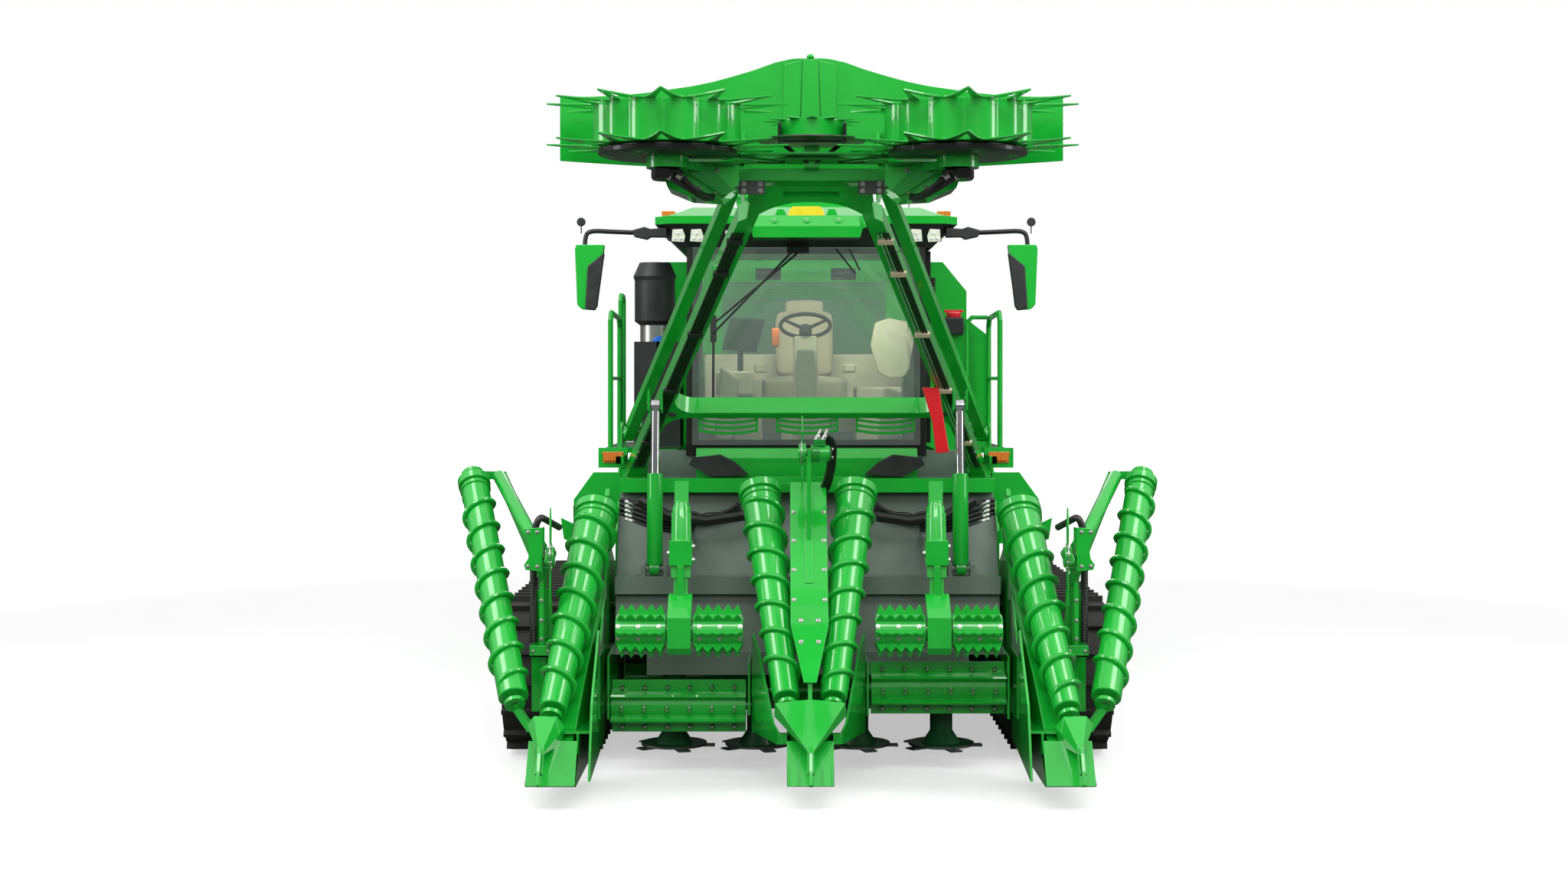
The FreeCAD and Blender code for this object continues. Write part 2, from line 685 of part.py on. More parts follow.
def crop_housing():
    """Roller train under the cab, extraction chamber and the extractor's tower."""
    piece = Piece("crop_housing")
    half = 850
    skin = 12
    piece.pad("YZ", [[(2320, 340), (5900, 760), (7270, 760), (8220, 900), (8220, 1960),
                      (7270, 1960), (7270, 1560), (7000, 1400), (5900, 1330), (2320, 930)]],
              -half, 2 * half)
    piece.pad("XY", [circle(0, D.TowerY, D.TowerRadius)], 1950, D.TowerTop - 1950)
    piece.cut("YZ", [[(2310, 353), (5898, 773), (7270, 772), (8208, 911), (8208, 1948),
                      (7282, 1948), (7282, 1553), (7007, 1388), (5900, 1318), (2310, 917)]],
              skin - half, 2 * (half - skin))
    piece.cut("XY", [circle(0, D.TowerY, D.TowerRadius - skin)], 1962, D.TowerTop)
    piece.cut("XY", [box_loop(-560, 560, 7560, 8200)], 1930, 60)
    piece.cut("XZ", [box_loop(-500, 500, 930, 1500)], 8190, 60)
    return piece.done()


main_frame()
decks()
railings()
crop_housing()


# ---------------------------------------------------------------- cab
HINGE_X, HINGE_Y = 862, 2690


def cab_frame():
    """Floor, slanted front pillars, posts, top rails and the rear wall."""
    piece = Piece("cab_frame")
    half = D.CabHalf
    floor = D.DeckZ + 30
    top = D.CabTop
    pillar = D.Pillar
    front = D.CabFront
    rear = D.CabRear
    side = half - pillar
    lean = D.GlassLean
    piece.pad("XY", [box_loop(0, half, front, rear)], D.DeckZ - 40, 70)
    piece.pad("YZ", [[(front, floor - 1), (front + pillar, floor - 1),
                      (front + pillar + lean, top), (front + lean, top)]], side, pillar)
    piece.pad("YZ", [box_loop(D.DoorFront - 60, D.DoorFront + 10, floor - 1, top)], side,
              pillar)
    piece.pad("YZ", [box_loop(D.DoorRear, D.DoorRear + pillar, floor - 1, top)], side,
              pillar)
    piece.pad("YZ", [box_loop(rear - pillar, rear, floor - 1, top)], side, pillar)
    piece.pad("YZ", [box_loop(front + lean + 10, rear, top - 60, top)], side, pillar)
    piece.pad("YZ", [box_loop(front + lean, front + lean + 60, top - 50, top)], 0, side + 1)
    piece.pad("XZ", [box_loop(0, side + 1, floor - 1, top)], rear - 40, 40)
    piece.cut("XZ", [box_loop(-1, half - 190, floor + 590, top - 160)], rear - 50, 60)
    piece.mirror()
    piece.pad("YZ", [box_loop(D.DoorFront, rear - 60, floor - 1, floor + 450)], -half, 40)
    piece.pad("YZ", [box_loop(D.DoorRear + 10, rear - 60, floor - 1, floor + 450)],
              half - 40, 40)
    for knuckle in (2236, 3036):
        piece.post(V(HINGE_X, HINGE_Y, knuckle), V(HINGE_X, HINGE_Y, knuckle + 64), 14)
        piece.pad("XY", [box_loop(796, HINGE_X, HINGE_Y - 12, HINGE_Y + 2)], knuckle + 2, 60)
    return piece.done()


def cab_roof():
    """Lamp tray, light band, crowned lid and the visor over the windscreen."""
    piece = Piece("cab_roof")
    top = D.CabTop
    half = D.RoofHalf

    def plan(inset, front, rear, corner):
        side = half - inset
        return [(-side, front + corner), (corner - side, front), (side - corner, front),
                (side, front + corner), (side, rear - corner), (side - corner, rear),
                (corner - side, rear), (-side, rear - corner)]

    piece.loft("XY", [(top, plan(160, 2570, 4170, 80)), (top + 148, plan(10, 2450, 4260, 90))])
    piece.pad("XY", [plan(0, 2440, 4270, 95)], top + 147, 53)
    piece.loft("XY", [(top + 200, plan(0, 2440, 4270, 95)),
                      (top + 270, plan(120, 2620, 4180, 120))])
    piece.pad("YZ", [[(2200, top + 39), (2620, top + 39), (2620, top + 190),
                      (2290, top + 190), (2200, top + 113)]], -350, 700)
    return piece.done()


def cab_glass():
    """Windscreen, fixed side windows and the rear window."""
    piece = Piece("cab_glass")
    half = D.CabHalf
    floor = D.DeckZ + 30
    top = D.CabTop
    front = D.CabFront
    lean = D.GlassLean
    rear = D.CabRear
    piece.pad("YZ", [[(front - 9, floor), (front - 1, floor), (front + lean - 1, top - 2),
                      (front + lean - 9, top - 2)]], 40 - half, half * 2 - 80)
    piece.pad("YZ", [box_loop(D.DoorFront + 11, D.DoorRear - 1, floor + 451, top - 61)],
              20 - half, 6)
    for side in (-1, 1):
        low = half * side - (side * 20 if side < 0 else 26)
        piece.pad("YZ", [box_loop(D.DoorRear + D.Pillar + 1, rear - D.Pillar - 1,
                                  floor + 451, top - 61)], low, 6)
    piece.pad("XZ", [box_loop(191 - half, half - 191, floor + 591, top - 161)], rear - 24, 6)
    return piece.done()


def cab_interior():
    """Driver's chair, passenger's chair, steering column with its wheel, and console."""
    piece = Piece("cab_interior")
    floor = D.DeckZ + 31
    piece.pad("XZ", [box_loop(-170, 170, floor, floor + 260)], 3350, 350)
    piece.pad("XZ", [box_loop(-260, 260, floor + 250, floor + 400)], 3260, 520)
    piece.pad("YZ", [[(3690, floor + 390), (3830, floor + 390), (3950, floor + 1080),
                      (3850, floor + 1110)]], -250, 500)
    piece.pad("YZ", [[(2780, floor), (2960, floor), (3010, floor + 560),
                      (2950, floor + 590)]], -90, 180)
    piece.pad("XZ", [box_loop(-480, -300, floor, floor + 520)], 3150, 650)
    piece.pad("XZ", [box_loop(-460, -400, floor + 500, floor + 640)], 3150, 50)
    piece.pad("XZ", [box_loop(340, 690, floor, floor + 420)], 3350, 500)
    piece.pad("XZ", [box_loop(340, 690, floor + 400, floor + 850)], 3750, 150)
    wheel = FreeCAD.Placement(V(0, 2995, float(floor) + 590), FreeCAD.Rotation(X_AXIS, -26))
    piece.pad("XY", [circle(0, 0, 172), circle(0, 0, 146)], 0, 22, wheel)
    piece.pad("XY", [box_loop(-150, 150, -16, 16)], 0, 14, wheel)
    piece.pad("XY", [circle(0, 0, 42)], 0, 20, wheel)
    return piece.done()


def door():
    """The left door: a leaf round one tall pane, and the pane."""
    low = D.DeckZ + 40
    high = D.CabTop - 20
    pane = [box_loop(D.DoorFront + 70, D.DoorRear - 90, low + 120, high - 70)]
    leaf = Piece("door_frame")
    leaf.pad("YZ", [box_loop(D.DoorFront, D.DoorRear, low, high)], D.CabHalf + 6, 38)
    leaf.cut("YZ", pane, D.CabHalf, 60)
    for knuckle in (2150, 2950):
        leaf.post(V(HINGE_X, HINGE_Y, knuckle), V(HINGE_X, HINGE_Y, knuckle + 80), 14)
        leaf.pad("XY", [[(836, 2702), (HINGE_X, HINGE_Y - 6), (HINGE_X + 8, HINGE_Y + 6),
                         (843, 2722)]], knuckle + 10, 60)
    leaf.done()
    glass = Piece("door_glass")
    glass.pad("YZ", pane, D.CabHalf + 22, 6)
    glass.done()


cab_frame()
cab_roof()
cab_glass()
cab_interior()
door()


# ---------------------------------------------------------------- engine bay and tanks
def engine_cover():
    """A hollow cover with side grilles, and the raised housing on top of it."""
    piece = Piece("engine_cover")
    half = D.BayHalf
    front = D.BayFront
    rear = D.BayRear
    top = D.BayTop
    skin = 10
    piece.pad("XZ", [[(-half, 1900), (half, 1900), (half, top - 220), (half - 180, top),
                      (180 - half, top), (-half, top - 220)]], front, rear - front)
    piece.pad("XY", [box_loop(-500, 500, front + 70, front + 1100)], top - 1, 491)
    piece.pad("XY", [box_loop(-520, 520, front + 50, front + 1120)], top + 489, 16)
    piece.pad("XY", [box_loop(-490, 490, front + 80, front + 1090)], top + 504, 66)
    piece.cut("XZ", [[(skin - half, 1890), (half - skin, 1890), (half - skin, top - 226),
                      (half - 186, top - skin), (186 - half, top - skin),
                      (skin - half, top - 226)]], front + skin, rear - front - 2 * skin)
    piece.cut("XY", [box_loop(-482, 482, front + 88, front + 1082)], top - skin - 2, 550)
    slot = piece.cut("YZ", [box_loop(front + 1500, rear - 250, 2150, 2195)],
                     -half - 5, half * 2 + 10)
    piece.along([slot], "Z_Axis", 720, 9)
    return piece.done()


def air_intake():
    """The tank on the right walkway with the pre-cleaner bowl on its neck."""
    tank = Piece("air_intake", at=(-1075, 3560, 0))
    deck = D.DeckZ
    tank.pad("XY", [box_loop(-131, 195, -260, 220)], deck, 2680 - deck)
    tank.turn("XZ", [(0, 2660), (105, 2660), (105, 2800), (145, 2830), (145, 3120),
                     (155, 3150), (110, 3250), (0, 3250)], "V_Axis")
    return tank.done()


def engine_block():
    """The engine as one plain block on its cross members."""
    engine = Piece("engine_block")
    engine.pad("YZ", [[(4600, D.EngineBed), (5900, D.EngineBed), (5900, 2500), (5700, 2700),
                       (4750, 2700), (4600, 2550)]], -480, 960)
    return engine.done()


def side_tanks():
    """The tank box on the left walkway."""
    tank = Piece("side_tanks")
    deck = D.DeckZ
    tank.pad("XZ", [[(880, deck), (D.DeckHalf - 5, deck), (D.DeckHalf - 5, 2730),
                     (1190, 2870), (880, 2870)]], 4000, 300)
    return tank.done()


def mirrors():
    """Mirror arms from the roof's corners with their housings."""
    piece = Piece("mirrors")
    start = D.RoofHalf + 12
    elbow = V(1470, 2500, 3400)
    piece.post(V(float(start), 2620, 3474), elbow, 17)
    piece.post(elbow + V(0, 0, 17), V(1470, 2500, 3300), 17)
    piece.pad("XY", [[(1375, 2460), (1540, 2420), (1540, 2540), (1375, 2560)]], 2870, 440)
    piece.mirror()
    return piece.done()


def lamps():
    """Lower headlamp housings and the corner marker lamps."""
    piece = Piece("lamps")
    piece.pad("XZ", [[(380, 1800), (620, 1784), (760, 1860), (740, 1905), (560, 1925),
                      (470, 1880)]], 2030, D.BeamFront - 2030)
    piece.pad("XZ", [box_loop(1268, 1370, 1850, 1915)], 2670, 12)
    piece.mirror()
    return piece.done()


def hydraulic_hoses():
    """Hose bundles that hang in front of the bulkhead."""
    bundles = []
    for side in (-1, 1):
        bundles.append(bent_tube([
            V(side * 1060, 1860, 1640), V(side * 880, 1800, 1545), V(side * 640, 1790, 1515),
            V(side * 400, 1800, 1550), V(side * 300, 1850, 1645)], 34))
    return feature("hydraulic_hoses", Part.makeCompound(bundles))


engine_cover()
engine_block()
side_tanks()
air_intake()
mirrors()
lamps()
hydraulic_hoses()


# ---------------------------------------------------------------- topper
ARM_RUN = math.hypot(float(D.BoomReach), float(D.BoomRise))
ARM_PITCH = math.degrees(math.atan2(float(D.BoomRise), float(D.BoomReach)))


def arm_plane(y, z, drop):
    """A sketch plane along the boom: across the machine and up the arm."""
    turn = FreeCAD.Rotation(X_AXIS, 180 - ARM_PITCH)
    normal = turn.multVec(Z_AXIS)
    return FreeCAD.Placement(V(0, float(y), float(z)) - normal * drop, turn)


def topper_boom():
    """Two splayed arms in one inclined plane, with a cross bar and a head piece."""
    piece = Piece("topper_boom")
    half = D.BoomWidth / 2 + 2
    depth = D.BoomDepth
    plane = arm_plane(D.BoomPivotY, D.BoomPivotZ, float(depth) / 2)
    foot = D.BoomPivotX
    piece.pad("XY", [[(foot - half, 0), (foot + half, 0), (404, 2812), (356, 2845),
                      (340, 2960), (340, 3120), (242, 3120), (242, 3030)]], 0, depth, plane)
    piece.pad("XY", [[(0, 820), (700, 820), ((855, 790), (935, 690)), (990, 780),
                      (870, 1010), (836, 1010), ((790, 905), (690, 880)), (0, 880)]],
              0, depth, plane)
    piece.pad("XY", [[(0, 3120), (0, 2985), ((150, 2962), (282, 2880)), (300, 2900),
                      (300, 3120)]], 0, depth, plane)
    piece.cut("XY", [box_loop(-1, 155, 3030, 3075)], -20, 160, plane)
    piece.pad("YZ", [circle(D.BoomPivotY, D.BoomPivotZ, 70)], foot - 55, 110)
    top_y = D.BoomPivotY - D.BoomReach
    top_z = D.BoomPivotZ + D.BoomRise
    piece.cut("YZ", [circle(top_y, top_z, 31)], 284, 80)
    piece.cut("YZ", [circle(D.BoomPivotY, D.BoomPivotZ, 31)], foot - 90, 180)
    eye = D.LiftX
    ear = [(1640, 2350), (1770, 2290), (1745, 2225), (1690, 2200), (1645, 2222)]
    piece.pad("YZ", [ear], eye - 48, 15)
    piece.pad("YZ", [ear], eye + 33, 15)
    piece.pad("YZ", [circle(1690, 2245, 18)], eye - 48, 96)
    piece.mirror()
    return piece.done()


def topper_links():
    """The upper links that keep the head level."""
    piece = Piece("topper_links")
    depth = 90
    foot_y = D.BoomPivotY + D.LinkShift
    foot_z = D.BoomPivotZ + D.LinkLift
    foot = D.LinkFootX
    top = D.LinkTopX
    plane = arm_plane(foot_y, foot_z, depth / 2)
    piece.pad("XY", [[(foot - 36, 0), (foot + 36, 0), (395, 2917), (360, 2950),
                      (360, ARM_RUN), (top - 36, ARM_RUN)]], 0, depth, plane)
    piece.pad("YZ", [circle(foot_y, foot_z, 50)], foot - 36, 72)
    head_y = foot_y - D.BoomReach
    head_z = foot_z + D.BoomRise
    piece.pad("YZ", [circle(head_y, head_z, 46)], top - 35, 70)
    piece.cut("YZ", [circle(foot_y, foot_z, 26)], foot - 60, 120)
    piece.cut("YZ", [circle(head_y, head_z, 21)], top - 60, 120)
    piece.mirror()
    return piece.done()


def topper_head():
    """Side plates with their pins, cross channel and the boat-shaped drum arms."""
    piece = Piece("topper_head")
    head_y = D.BoomPivotY - D.BoomReach
    head_z = D.BoomPivotZ + D.BoomRise
    side = D.LinkTopX + 39
    piece.pad("YZ", [[(-180, 3470), (-60, 3420), (170, 3390), (300, 3510), (395, 3690),
                      (395, 3800), (300, 3830), (-60, 3580), (-180, 3545)]], side, 22)
    piece.pad("YZ", [circle(head_y, head_z, PIN)], 290, side - 280)
    piece.pad("YZ", [circle(head_y + D.LinkShift, head_z + D.LinkLift, 20)], 292,
              side - 282)
    piece.pad("XZ", [box_loop(0, side + 5, 3480, 3545)], -180, 120)
    piece.pad("XZ", [[(side + 20, 3440), (side + 20, 3540), (700, 3540), (790, 3500),
                      (760, 3420), (640, 3370), (470, 3360)]], -420, 360)
    piece.pad("XY", [[(side + 20, -200), (side + 20, -62), (800, -62), (850, D.DrumY),
                      (650, D.DrumY)]], 3500, 40)
    piece.pad("XY", [circle(D.DrumX, D.DrumY, 110)], 3500, D.DrumLow - 3513)
    piece.pad("XZ", [box_loop(0, 40, 3540, 3660)], -290, 115)
    piece.mirror()
    return piece.done()


def topper_deflector():
    """The tall curved wall behind the drums, rising to a peak in the middle."""
    piece = Piece("topper_deflector")
    half = D.HoodHalf
    back = D.HoodBack
    ends = D.HoodBack - D.HoodSag
    skin = 8
    low = D.HoodLow
    peak = D.HoodPeak
    end = D.HoodEnd
    piece.pad("XY", [[(-half, ends), ((0, back), (half, ends)), (half - skin, ends - 3),
                      ((0, back - skin), (skin - half, ends - 3))]], low, peak - low)
    ogee = []
    for sign in (-1, 1):
        ogee.append([(sign * (half + 9), peak + 9), (sign * (half + 9), end),
                     (sign * 1150, end), ((sign * 830, end + 42), (sign * 575, end + 142)),
                     ((sign * 320, end + 243), (sign * 9, peak)), (sign * 9, peak + 9)])
    piece.cut("XZ", ogee, ends - 50, D.HoodSag + 100)
    piece.pad("YZ", [box_loop(ends - 100, ends, low, end)], half - skin, skin)
    piece.pad("YZ", [box_loop(ends - 100, ends, low, end)], -half, skin)
    side = D.LinkTopX
    piece.cut("XZ", [box_loop(side + 36, side + 64, low - 5, low + 255),
                     box_loop(-side - 64, -side - 36, low - 5, low + 255)], 200, 90)
    piece.pad("XY", [box_loop(-side, side, 115, back - 20)], low + 1, 8)
    return piece.done()


def gathering_drum(label, side):
    """Two spiked star plates with a round wall between them."""
    piece = Piece(label, at=(D.DrumX * side, D.DrumY, D.DrumLow))
    wall = D.DrumWall
    gap = D.DrumHigh - D.DrumLow
    piece.pad("XY", [circle(0, 0, wall), circle(0, 0, wall - 8)], -4, gap + 8)
    piece.pad("XY", [circle(0, 0, wall - 7)], -4, 8)
    piece.pad("XY", [circle(0, 0, 80)], 0, gap)
    piece.pad("XY", [circle(0, 0, wall + 40), circle(0, 0, wall - 7)], gap - 4, 8)
    spike = [(wall - 5, -62), (wall + 120, -26), (D.DrumSpike, -5), (D.DrumSpike, 5),
             (wall + 120, 26), (wall - 5, 62)]
    spikes = [piece.pad("XY", [spike], -4, 8), piece.pad("XY", [spike], gap - 4, 8)]
    piece.around(spikes, D.Spikes)
    return piece.done()


def topper_cutter():
    """The cutting drum in the middle: a disc, a drum and a small star on top."""
    piece = Piece("topper_cutter", at=(0, D.CutterBladeY, 3680))
    piece.pad("XY", [circle(0, 0, 288)], 0, 8)
    piece.pad("XY", [circle(0, 0, 186)], 7, 102)
    point = piece.pad("XY", [[(180, -34), (258, -4), (258, 4), (180, 34)]], 104, 6)
    piece.around([point], 12)
    return piece.done()


LIFT_BASE = V(float(D.LiftX), 1600, 1233)
LIFT_EYE = V(float(D.LiftX), 1690, 2245)
LIFT_LINE = LIFT_EYE - LIFT_BASE
LIFT_LINE.normalize()


def lift_barrels():
    """The two barrels, with the bore that their rods slide in."""
    piece = Piece("lift_barrels")
    end = LIFT_BASE + LIFT_LINE * 590
    piece.post(LIFT_BASE + LIFT_LINE * 20, end, 50)
    piece.pad("YZ", [circle(LIFT_BASE.y, LIFT_BASE.z, 44)], D.LiftX - 30, 60)
    piece.cut("YZ", [circle(LIFT_BASE.y, LIFT_BASE.z, 21)], D.LiftX - 60, 120)
    piece.post(LIFT_BASE + LIFT_LINE * 50, end - LIFT_LINE * 20, 42, hollow=True)
    piece.post(end - LIFT_LINE * 30, end + LIFT_LINE * 9, 28.2, hollow=True)
    piece.mirror()
    return piece.done()


def lift_rods():
    """The two rods with their pistons and eyes."""
    piece = Piece("lift_rods")
    piece.post(LIFT_EYE - LIFT_LINE * 624, LIFT_EYE - LIFT_LINE * 584, 41.8)
    piece.post(LIFT_EYE - LIFT_LINE * 585, LIFT_EYE - LIFT_LINE * 15, 28)
    piece.pad("YZ", [circle(LIFT_EYE.y, LIFT_EYE.z, 37)], D.LiftX - 27, 54)
    piece.cut("YZ", [circle(LIFT_EYE.y, LIFT_EYE.z, 25.5)], D.LiftX - 40, 80)
    piece.mirror()
    return piece.done()


topper_boom()
topper_links()
topper_head()
topper_deflector()
gathering_drum("gathering_drum_left", 1)
gathering_drum("gathering_drum_right", -1)
topper_cutter()
lift_barrels()
lift_rods()


# ---------------------------------------------------------------- crop dividers
SCROLLS = {
    # name: foot point, head point, foot radius, head radius, ridge, turns, right-handed
    "scroll_right_outer": (V(-1698, 550, 586), V(-2107, 1750, 1778), 87, 87, 30, 8, True),
    "scroll_right_inner": (V(-1463, 450, 534), V(-1307, 1550, 1603), 80, 127, 35, 7, False),
    "scroll_centre_right": (V(-135, 450, 600), V(-300, 1500, 1727), 76, 120, 30, 7, False),
}
OPPOSITE = {
    "scroll_left_outer": "scroll_right_outer",
    "scroll_left_inner": "scroll_right_inner",
    "scroll_centre_left": "scroll_centre_right",
}
STUB = 28


def scroll_shape(foot, head, foot_radius, head_radius, ridge, turns, right_handed):
    """A tapered tube wound with a raised flight, lying from its foot to its head.

    The tube is a polygon in section.  Every corner line of the tube crosses the flight once
    a turn, so the surface is a net of strips that follow the helix.
    """
    along = head - foot
    length = along.Length
    sides = 10
    margin = 70
    collar = 14
    collar_length = 55
    pitch = (length - collar_length - 2 * margin) / turns
    steps = sides * turns
    hand = 1 if right_handed else -1

    def point(step, height, lift):
        radius = foot_radius + (head_radius - foot_radius) * height / length + lift
        angle = hand * 2 * math.pi * (step % sides) / sides
        return V(radius * math.cos(angle), radius * math.sin(angle), height)

    low = []
    rim = []
    high = []
    for step in range(steps + 1):
        height = margin + pitch * step / sides
        low.append(point(step, height - 16, 0))
        rim.append(point(step, height, ridge))
        high.append(point(step, height + 16, 0))
    bottom = [point(step, 0, 0) for step in range(sides)]
    shoulder = length - collar_length
    neck = [point(step, shoulder, 0) for step in range(sides)]
    collar_low = [point(step, shoulder, collar) for step in range(sides)]
    top = [point(step, length, collar) for step in range(sides)]
    faces = [bottom, top]
    for step in range(steps):
        for here, there in ((low, rim), (rim, high)):
            faces.append([here[step], here[step + 1], there[step + 1]])
            faces.append([here[step], there[step + 1], there[step]])
    for step in range(steps - sides):
        faces.append([high[step], high[step + 1], low[step + sides + 1], low[step + sides]])
    for end in (0, steps):
        faces.append([low[end], rim[end], high[end]])
    for step in range(sides - 1):
        faces.append([bottom[step], bottom[step + 1], low[step + 1], low[step]])
    faces.append([bottom[sides - 1], bottom[0], low[0], high[0], low[sides], low[sides - 1]])
    last = steps - sides
    faces.append([high[last], high[last + 1], neck[1], neck[0], high[steps], low[steps]])
    for step in range(1, sides):
        after = (step + 1) % sides
        faces.append([high[last + step], high[last + step + 1], neck[after], neck[step]])
    for step in range(sides):
        after = (step + 1) % sides
        faces.append([neck[step], neck[after], collar_low[after], collar_low[step]])
        faces.append([collar_low[step], collar_low[after], top[after], top[step]])
    tube = solid_of(faces)
    shaft = Part.makeCylinder(STUB, length + 105, V(0, 0, -45), Z_AXIS)
    shape = tube.fuse(shaft)
    shape.Placement = FreeCAD.Placement(foot, FreeCAD.Rotation(Z_AXIS, along))
    return Part.makeCompound([shape])


def beyond(point, other, distance):
    """The point that lies past one end of a line by a distance."""
    line = point - other
    return point + line * (distance / line.Length)


def bearing(piece, centre, axis, radius):
    """A round plate with a bore, square to a scroll's axis."""
    half = V(axis)
    half.normalize()
    half = half * 12
    piece.post(centre - half, centre + half, radius)


def divider_right():
    """Outer divider: nose, wall, shoe box, knife plate and the scrolls' bearings."""
    piece = Piece("divider_right")
    outer_foot, outer_head = SCROLLS["scroll_right_outer"][:2]
    inner_foot, inner_head = SCROLLS["scroll_right_inner"][:2]
    outer = outer_head - outer_foot
    inner = inner_head - inner_foot
    # nose and shoe
    piece.loft("XZ", [(0, [(-1486, 190), (-1474, 190), (-1472, 182), (-1480, 176),
                           (-1490, 184)]),
                      (400, [(-1610, 470), (-1400, 480), (-1370, 300), (-1560, 270),
                             (-1690, 430)])])
    side = [(180, 150), (240, 135), (1000, 135), (1000, 400), (395, 400), (395, 290)]
    piece.pad("YZ", [side], -1590, 12)
    piece.pad("YZ", [side], -1322, 12)
    piece.pad("XY", [box_loop(-1590, -1310, 230, 1000)], 135, 14)
    piece.pad("XY", [box_loop(-1590, -1310, 980, 1000)], 135, 265)
    piece.pad("XY", [[(-1600, 395), (-1236, 440), (-1236, 1240), (-1600, 1100)]], 399, 14)
    # side wall with the lift pivot's bore
    piece.pad("YZ", [[(300, 150), (1250, 240), (1330, 480), (2560, 760), (2560, 1000),
                      (1760, 1350), (1560, 1360), (1000, 830), (900, 930), (460, 560)]],
              -1250, 14)
    piece.cut("YZ", [circle(D.DividerY, D.DividerZ, PIN + 1)], -1255, 24)
    # gusset behind the head of the inner scroll
    piece.pad("YZ", [[(1690, 1320), (1790, 1300), (1790, 1480), (1700, 1640), (1600, 1730),
                      (1552, 1690), (1566, 1646), (1650, 1562), (1690, 1500)]], -1262, 26)
    # knife plate with its pin
    piece.pad("YZ", [[(855, 1320), (990, 1170), (990, 400), (1080, 400), (1080, 1330),
                      (940, 1410), (870, 1410)]], -1600, 35)
    piece.pad("YZ", [circle(900, 1362, 20)], -1580, 75)
    # arm of the outer scroll's head
    elbow = V(-1950, 1870, 1800)
    head = beyond(outer_head, outer_foot, 42)
    piece.bar(V(-1585, 1040, 1260), elbow, 60, 60)
    piece.bar(elbow + V(25, 0, 0), head, 50, 50)
    # bearings
    inner_low = beyond(inner_foot, inner_head, 42)
    outer_low = beyond(outer_foot, outer_head, 42)
    bearing(piece, head, outer, 70)
    bearing(piece, beyond(inner_head, inner_foot, 42), inner, 70)
    bearing(piece, inner_low, inner, 60)
    bearing(piece, outer_low, outer, 60)
    piece.pad("YZ", [[(330, 380), (400, 380), (472, 448), (452, 486), (400, 485), (360, 470)]],
              -1490, 44)
    piece.bar(V(-1590, 520, 403), V(-1680, 552, 522), 40, 40)
    for centre, axis in ((head, outer), (beyond(inner_head, inner_foot, 42), inner),
                         (inner_low, inner), (outer_low, outer)):
        half = V(axis)
        half.normalize()
        piece.post(centre - half * 60, centre + half * 60, STUB + 1, hollow=True)
    return piece.done()


def divider_centre():
    """Centre divider: nose, spine between the scrolls, face plate and lower walls."""
    piece = Piece("divider_centre")
    foot, head = SCROLLS["scroll_centre_right"][:2]
    axis = head - foot
    low = beyond(foot, head, 42)
    high = beyond(head, foot, 42)
    # spine with the lift pivot
    piece.pad("YZ", [[(380, 520), (420, 700), (1445, 1755), (1540, 1800), (1590, 1770),
                      (1560, 1700), (1480, 1600), (1480, 1300), (1500, 1100), (1530, 1040),
                      (1530, 960), (1400, 800), (900, 420), (500, 330), (380, 340)]],
              0, 12)
    piece.pad("YZ", [circle(D.CentreY, D.CentreZ, 45)], 0, 38)
    # cross beam, bearings and nose block
    piece.pad("YZ", [box_loop(1540, 1585, 1762, 1807)], 0, 310)
    bearing(piece, V(-high.x, high.y, high.z), V(-axis.x, axis.y, axis.z), 62)
    piece.pad("YZ", [[(370, 490), (420, 500), (445, 540), (400, 590), (370, 560)]], 0, 150)
    bearing(piece, V(-low.x, low.y, low.z), V(-axis.x, axis.y, axis.z), 55)
    # lower side walls, shoe boxes and their floor
    piece.bar(V(0, 1000, 560), V(318, 1040, 560), 60, 12)
    wall = FreeCAD.Placement(V(180, 500, 0), FreeCAD.Rotation(V(150, 650, 0), Z_AXIS,
                                                             V(650, -150, 0), "XZY"))
    piece.pad("XY", [[(-20, 330), (667, 290), (667, 880), (500, 800), (100, 430),
                      (-20, 400)]], -6, 12, wall)
    piece.pad("XY", [box_loop(0, 175, 480, 520)], 330, 60)
    piece.pad("YZ", [[(180, 150), (240, 135), (800, 135), (800, 360), (380, 400)]], 60, 12)
    piece.pad("YZ", [[(180, 150), (240, 135), (800, 135), (800, 360), (380, 400)]], 118, 12)
    piece.pad("XY", [box_loop(0, 130, 240, 800)], 135, 14)
    piece.mirror()
    piece.loft("XZ", [(60, [(-14, 250), (0, 262), (14, 250), (0, 236)]),
                      (395, [(-190, 455), (0, 560), (190, 455), (0, 320)])])
    # face plate between the scrolls
    steep = math.degrees(math.atan2(axis.z, axis.y))
    face = FreeCAD.Placement(V(0, 366, 678), FreeCAD.Rotation(X_AXIS, steep))
    piece.pad("XY", [[(-36, 20), (36, 20), (110, 420), (110, 1500), (-110, 1500),
                      (-110, 420)]], 0, 10, face)
    # knife post, pin and motor
    piece.pad("YZ", [[(1060, 1300), (1200, 1440), (1190, 1990), (1070, 1990)]], -10, 24)
    piece.pad("YZ", [circle(1130, 1967, 20)], -62, 70)
    piece.pad("YZ", [circle(1130, 1967, 50)], 12, 110)
    for side in (-1, 1):
        for centre in (low, high):
            line = V(axis.x * side, axis.y, axis.z)
            line.normalize()
            middle = V(centre.x * side, centre.y, centre.z)
            piece.post(middle - line * 60, middle + line * 60, STUB + 1, hollow=True)
    piece.cut("YZ", [circle(D.CentreY, D.CentreZ, 21)], -50, 100)
    return piece.done()


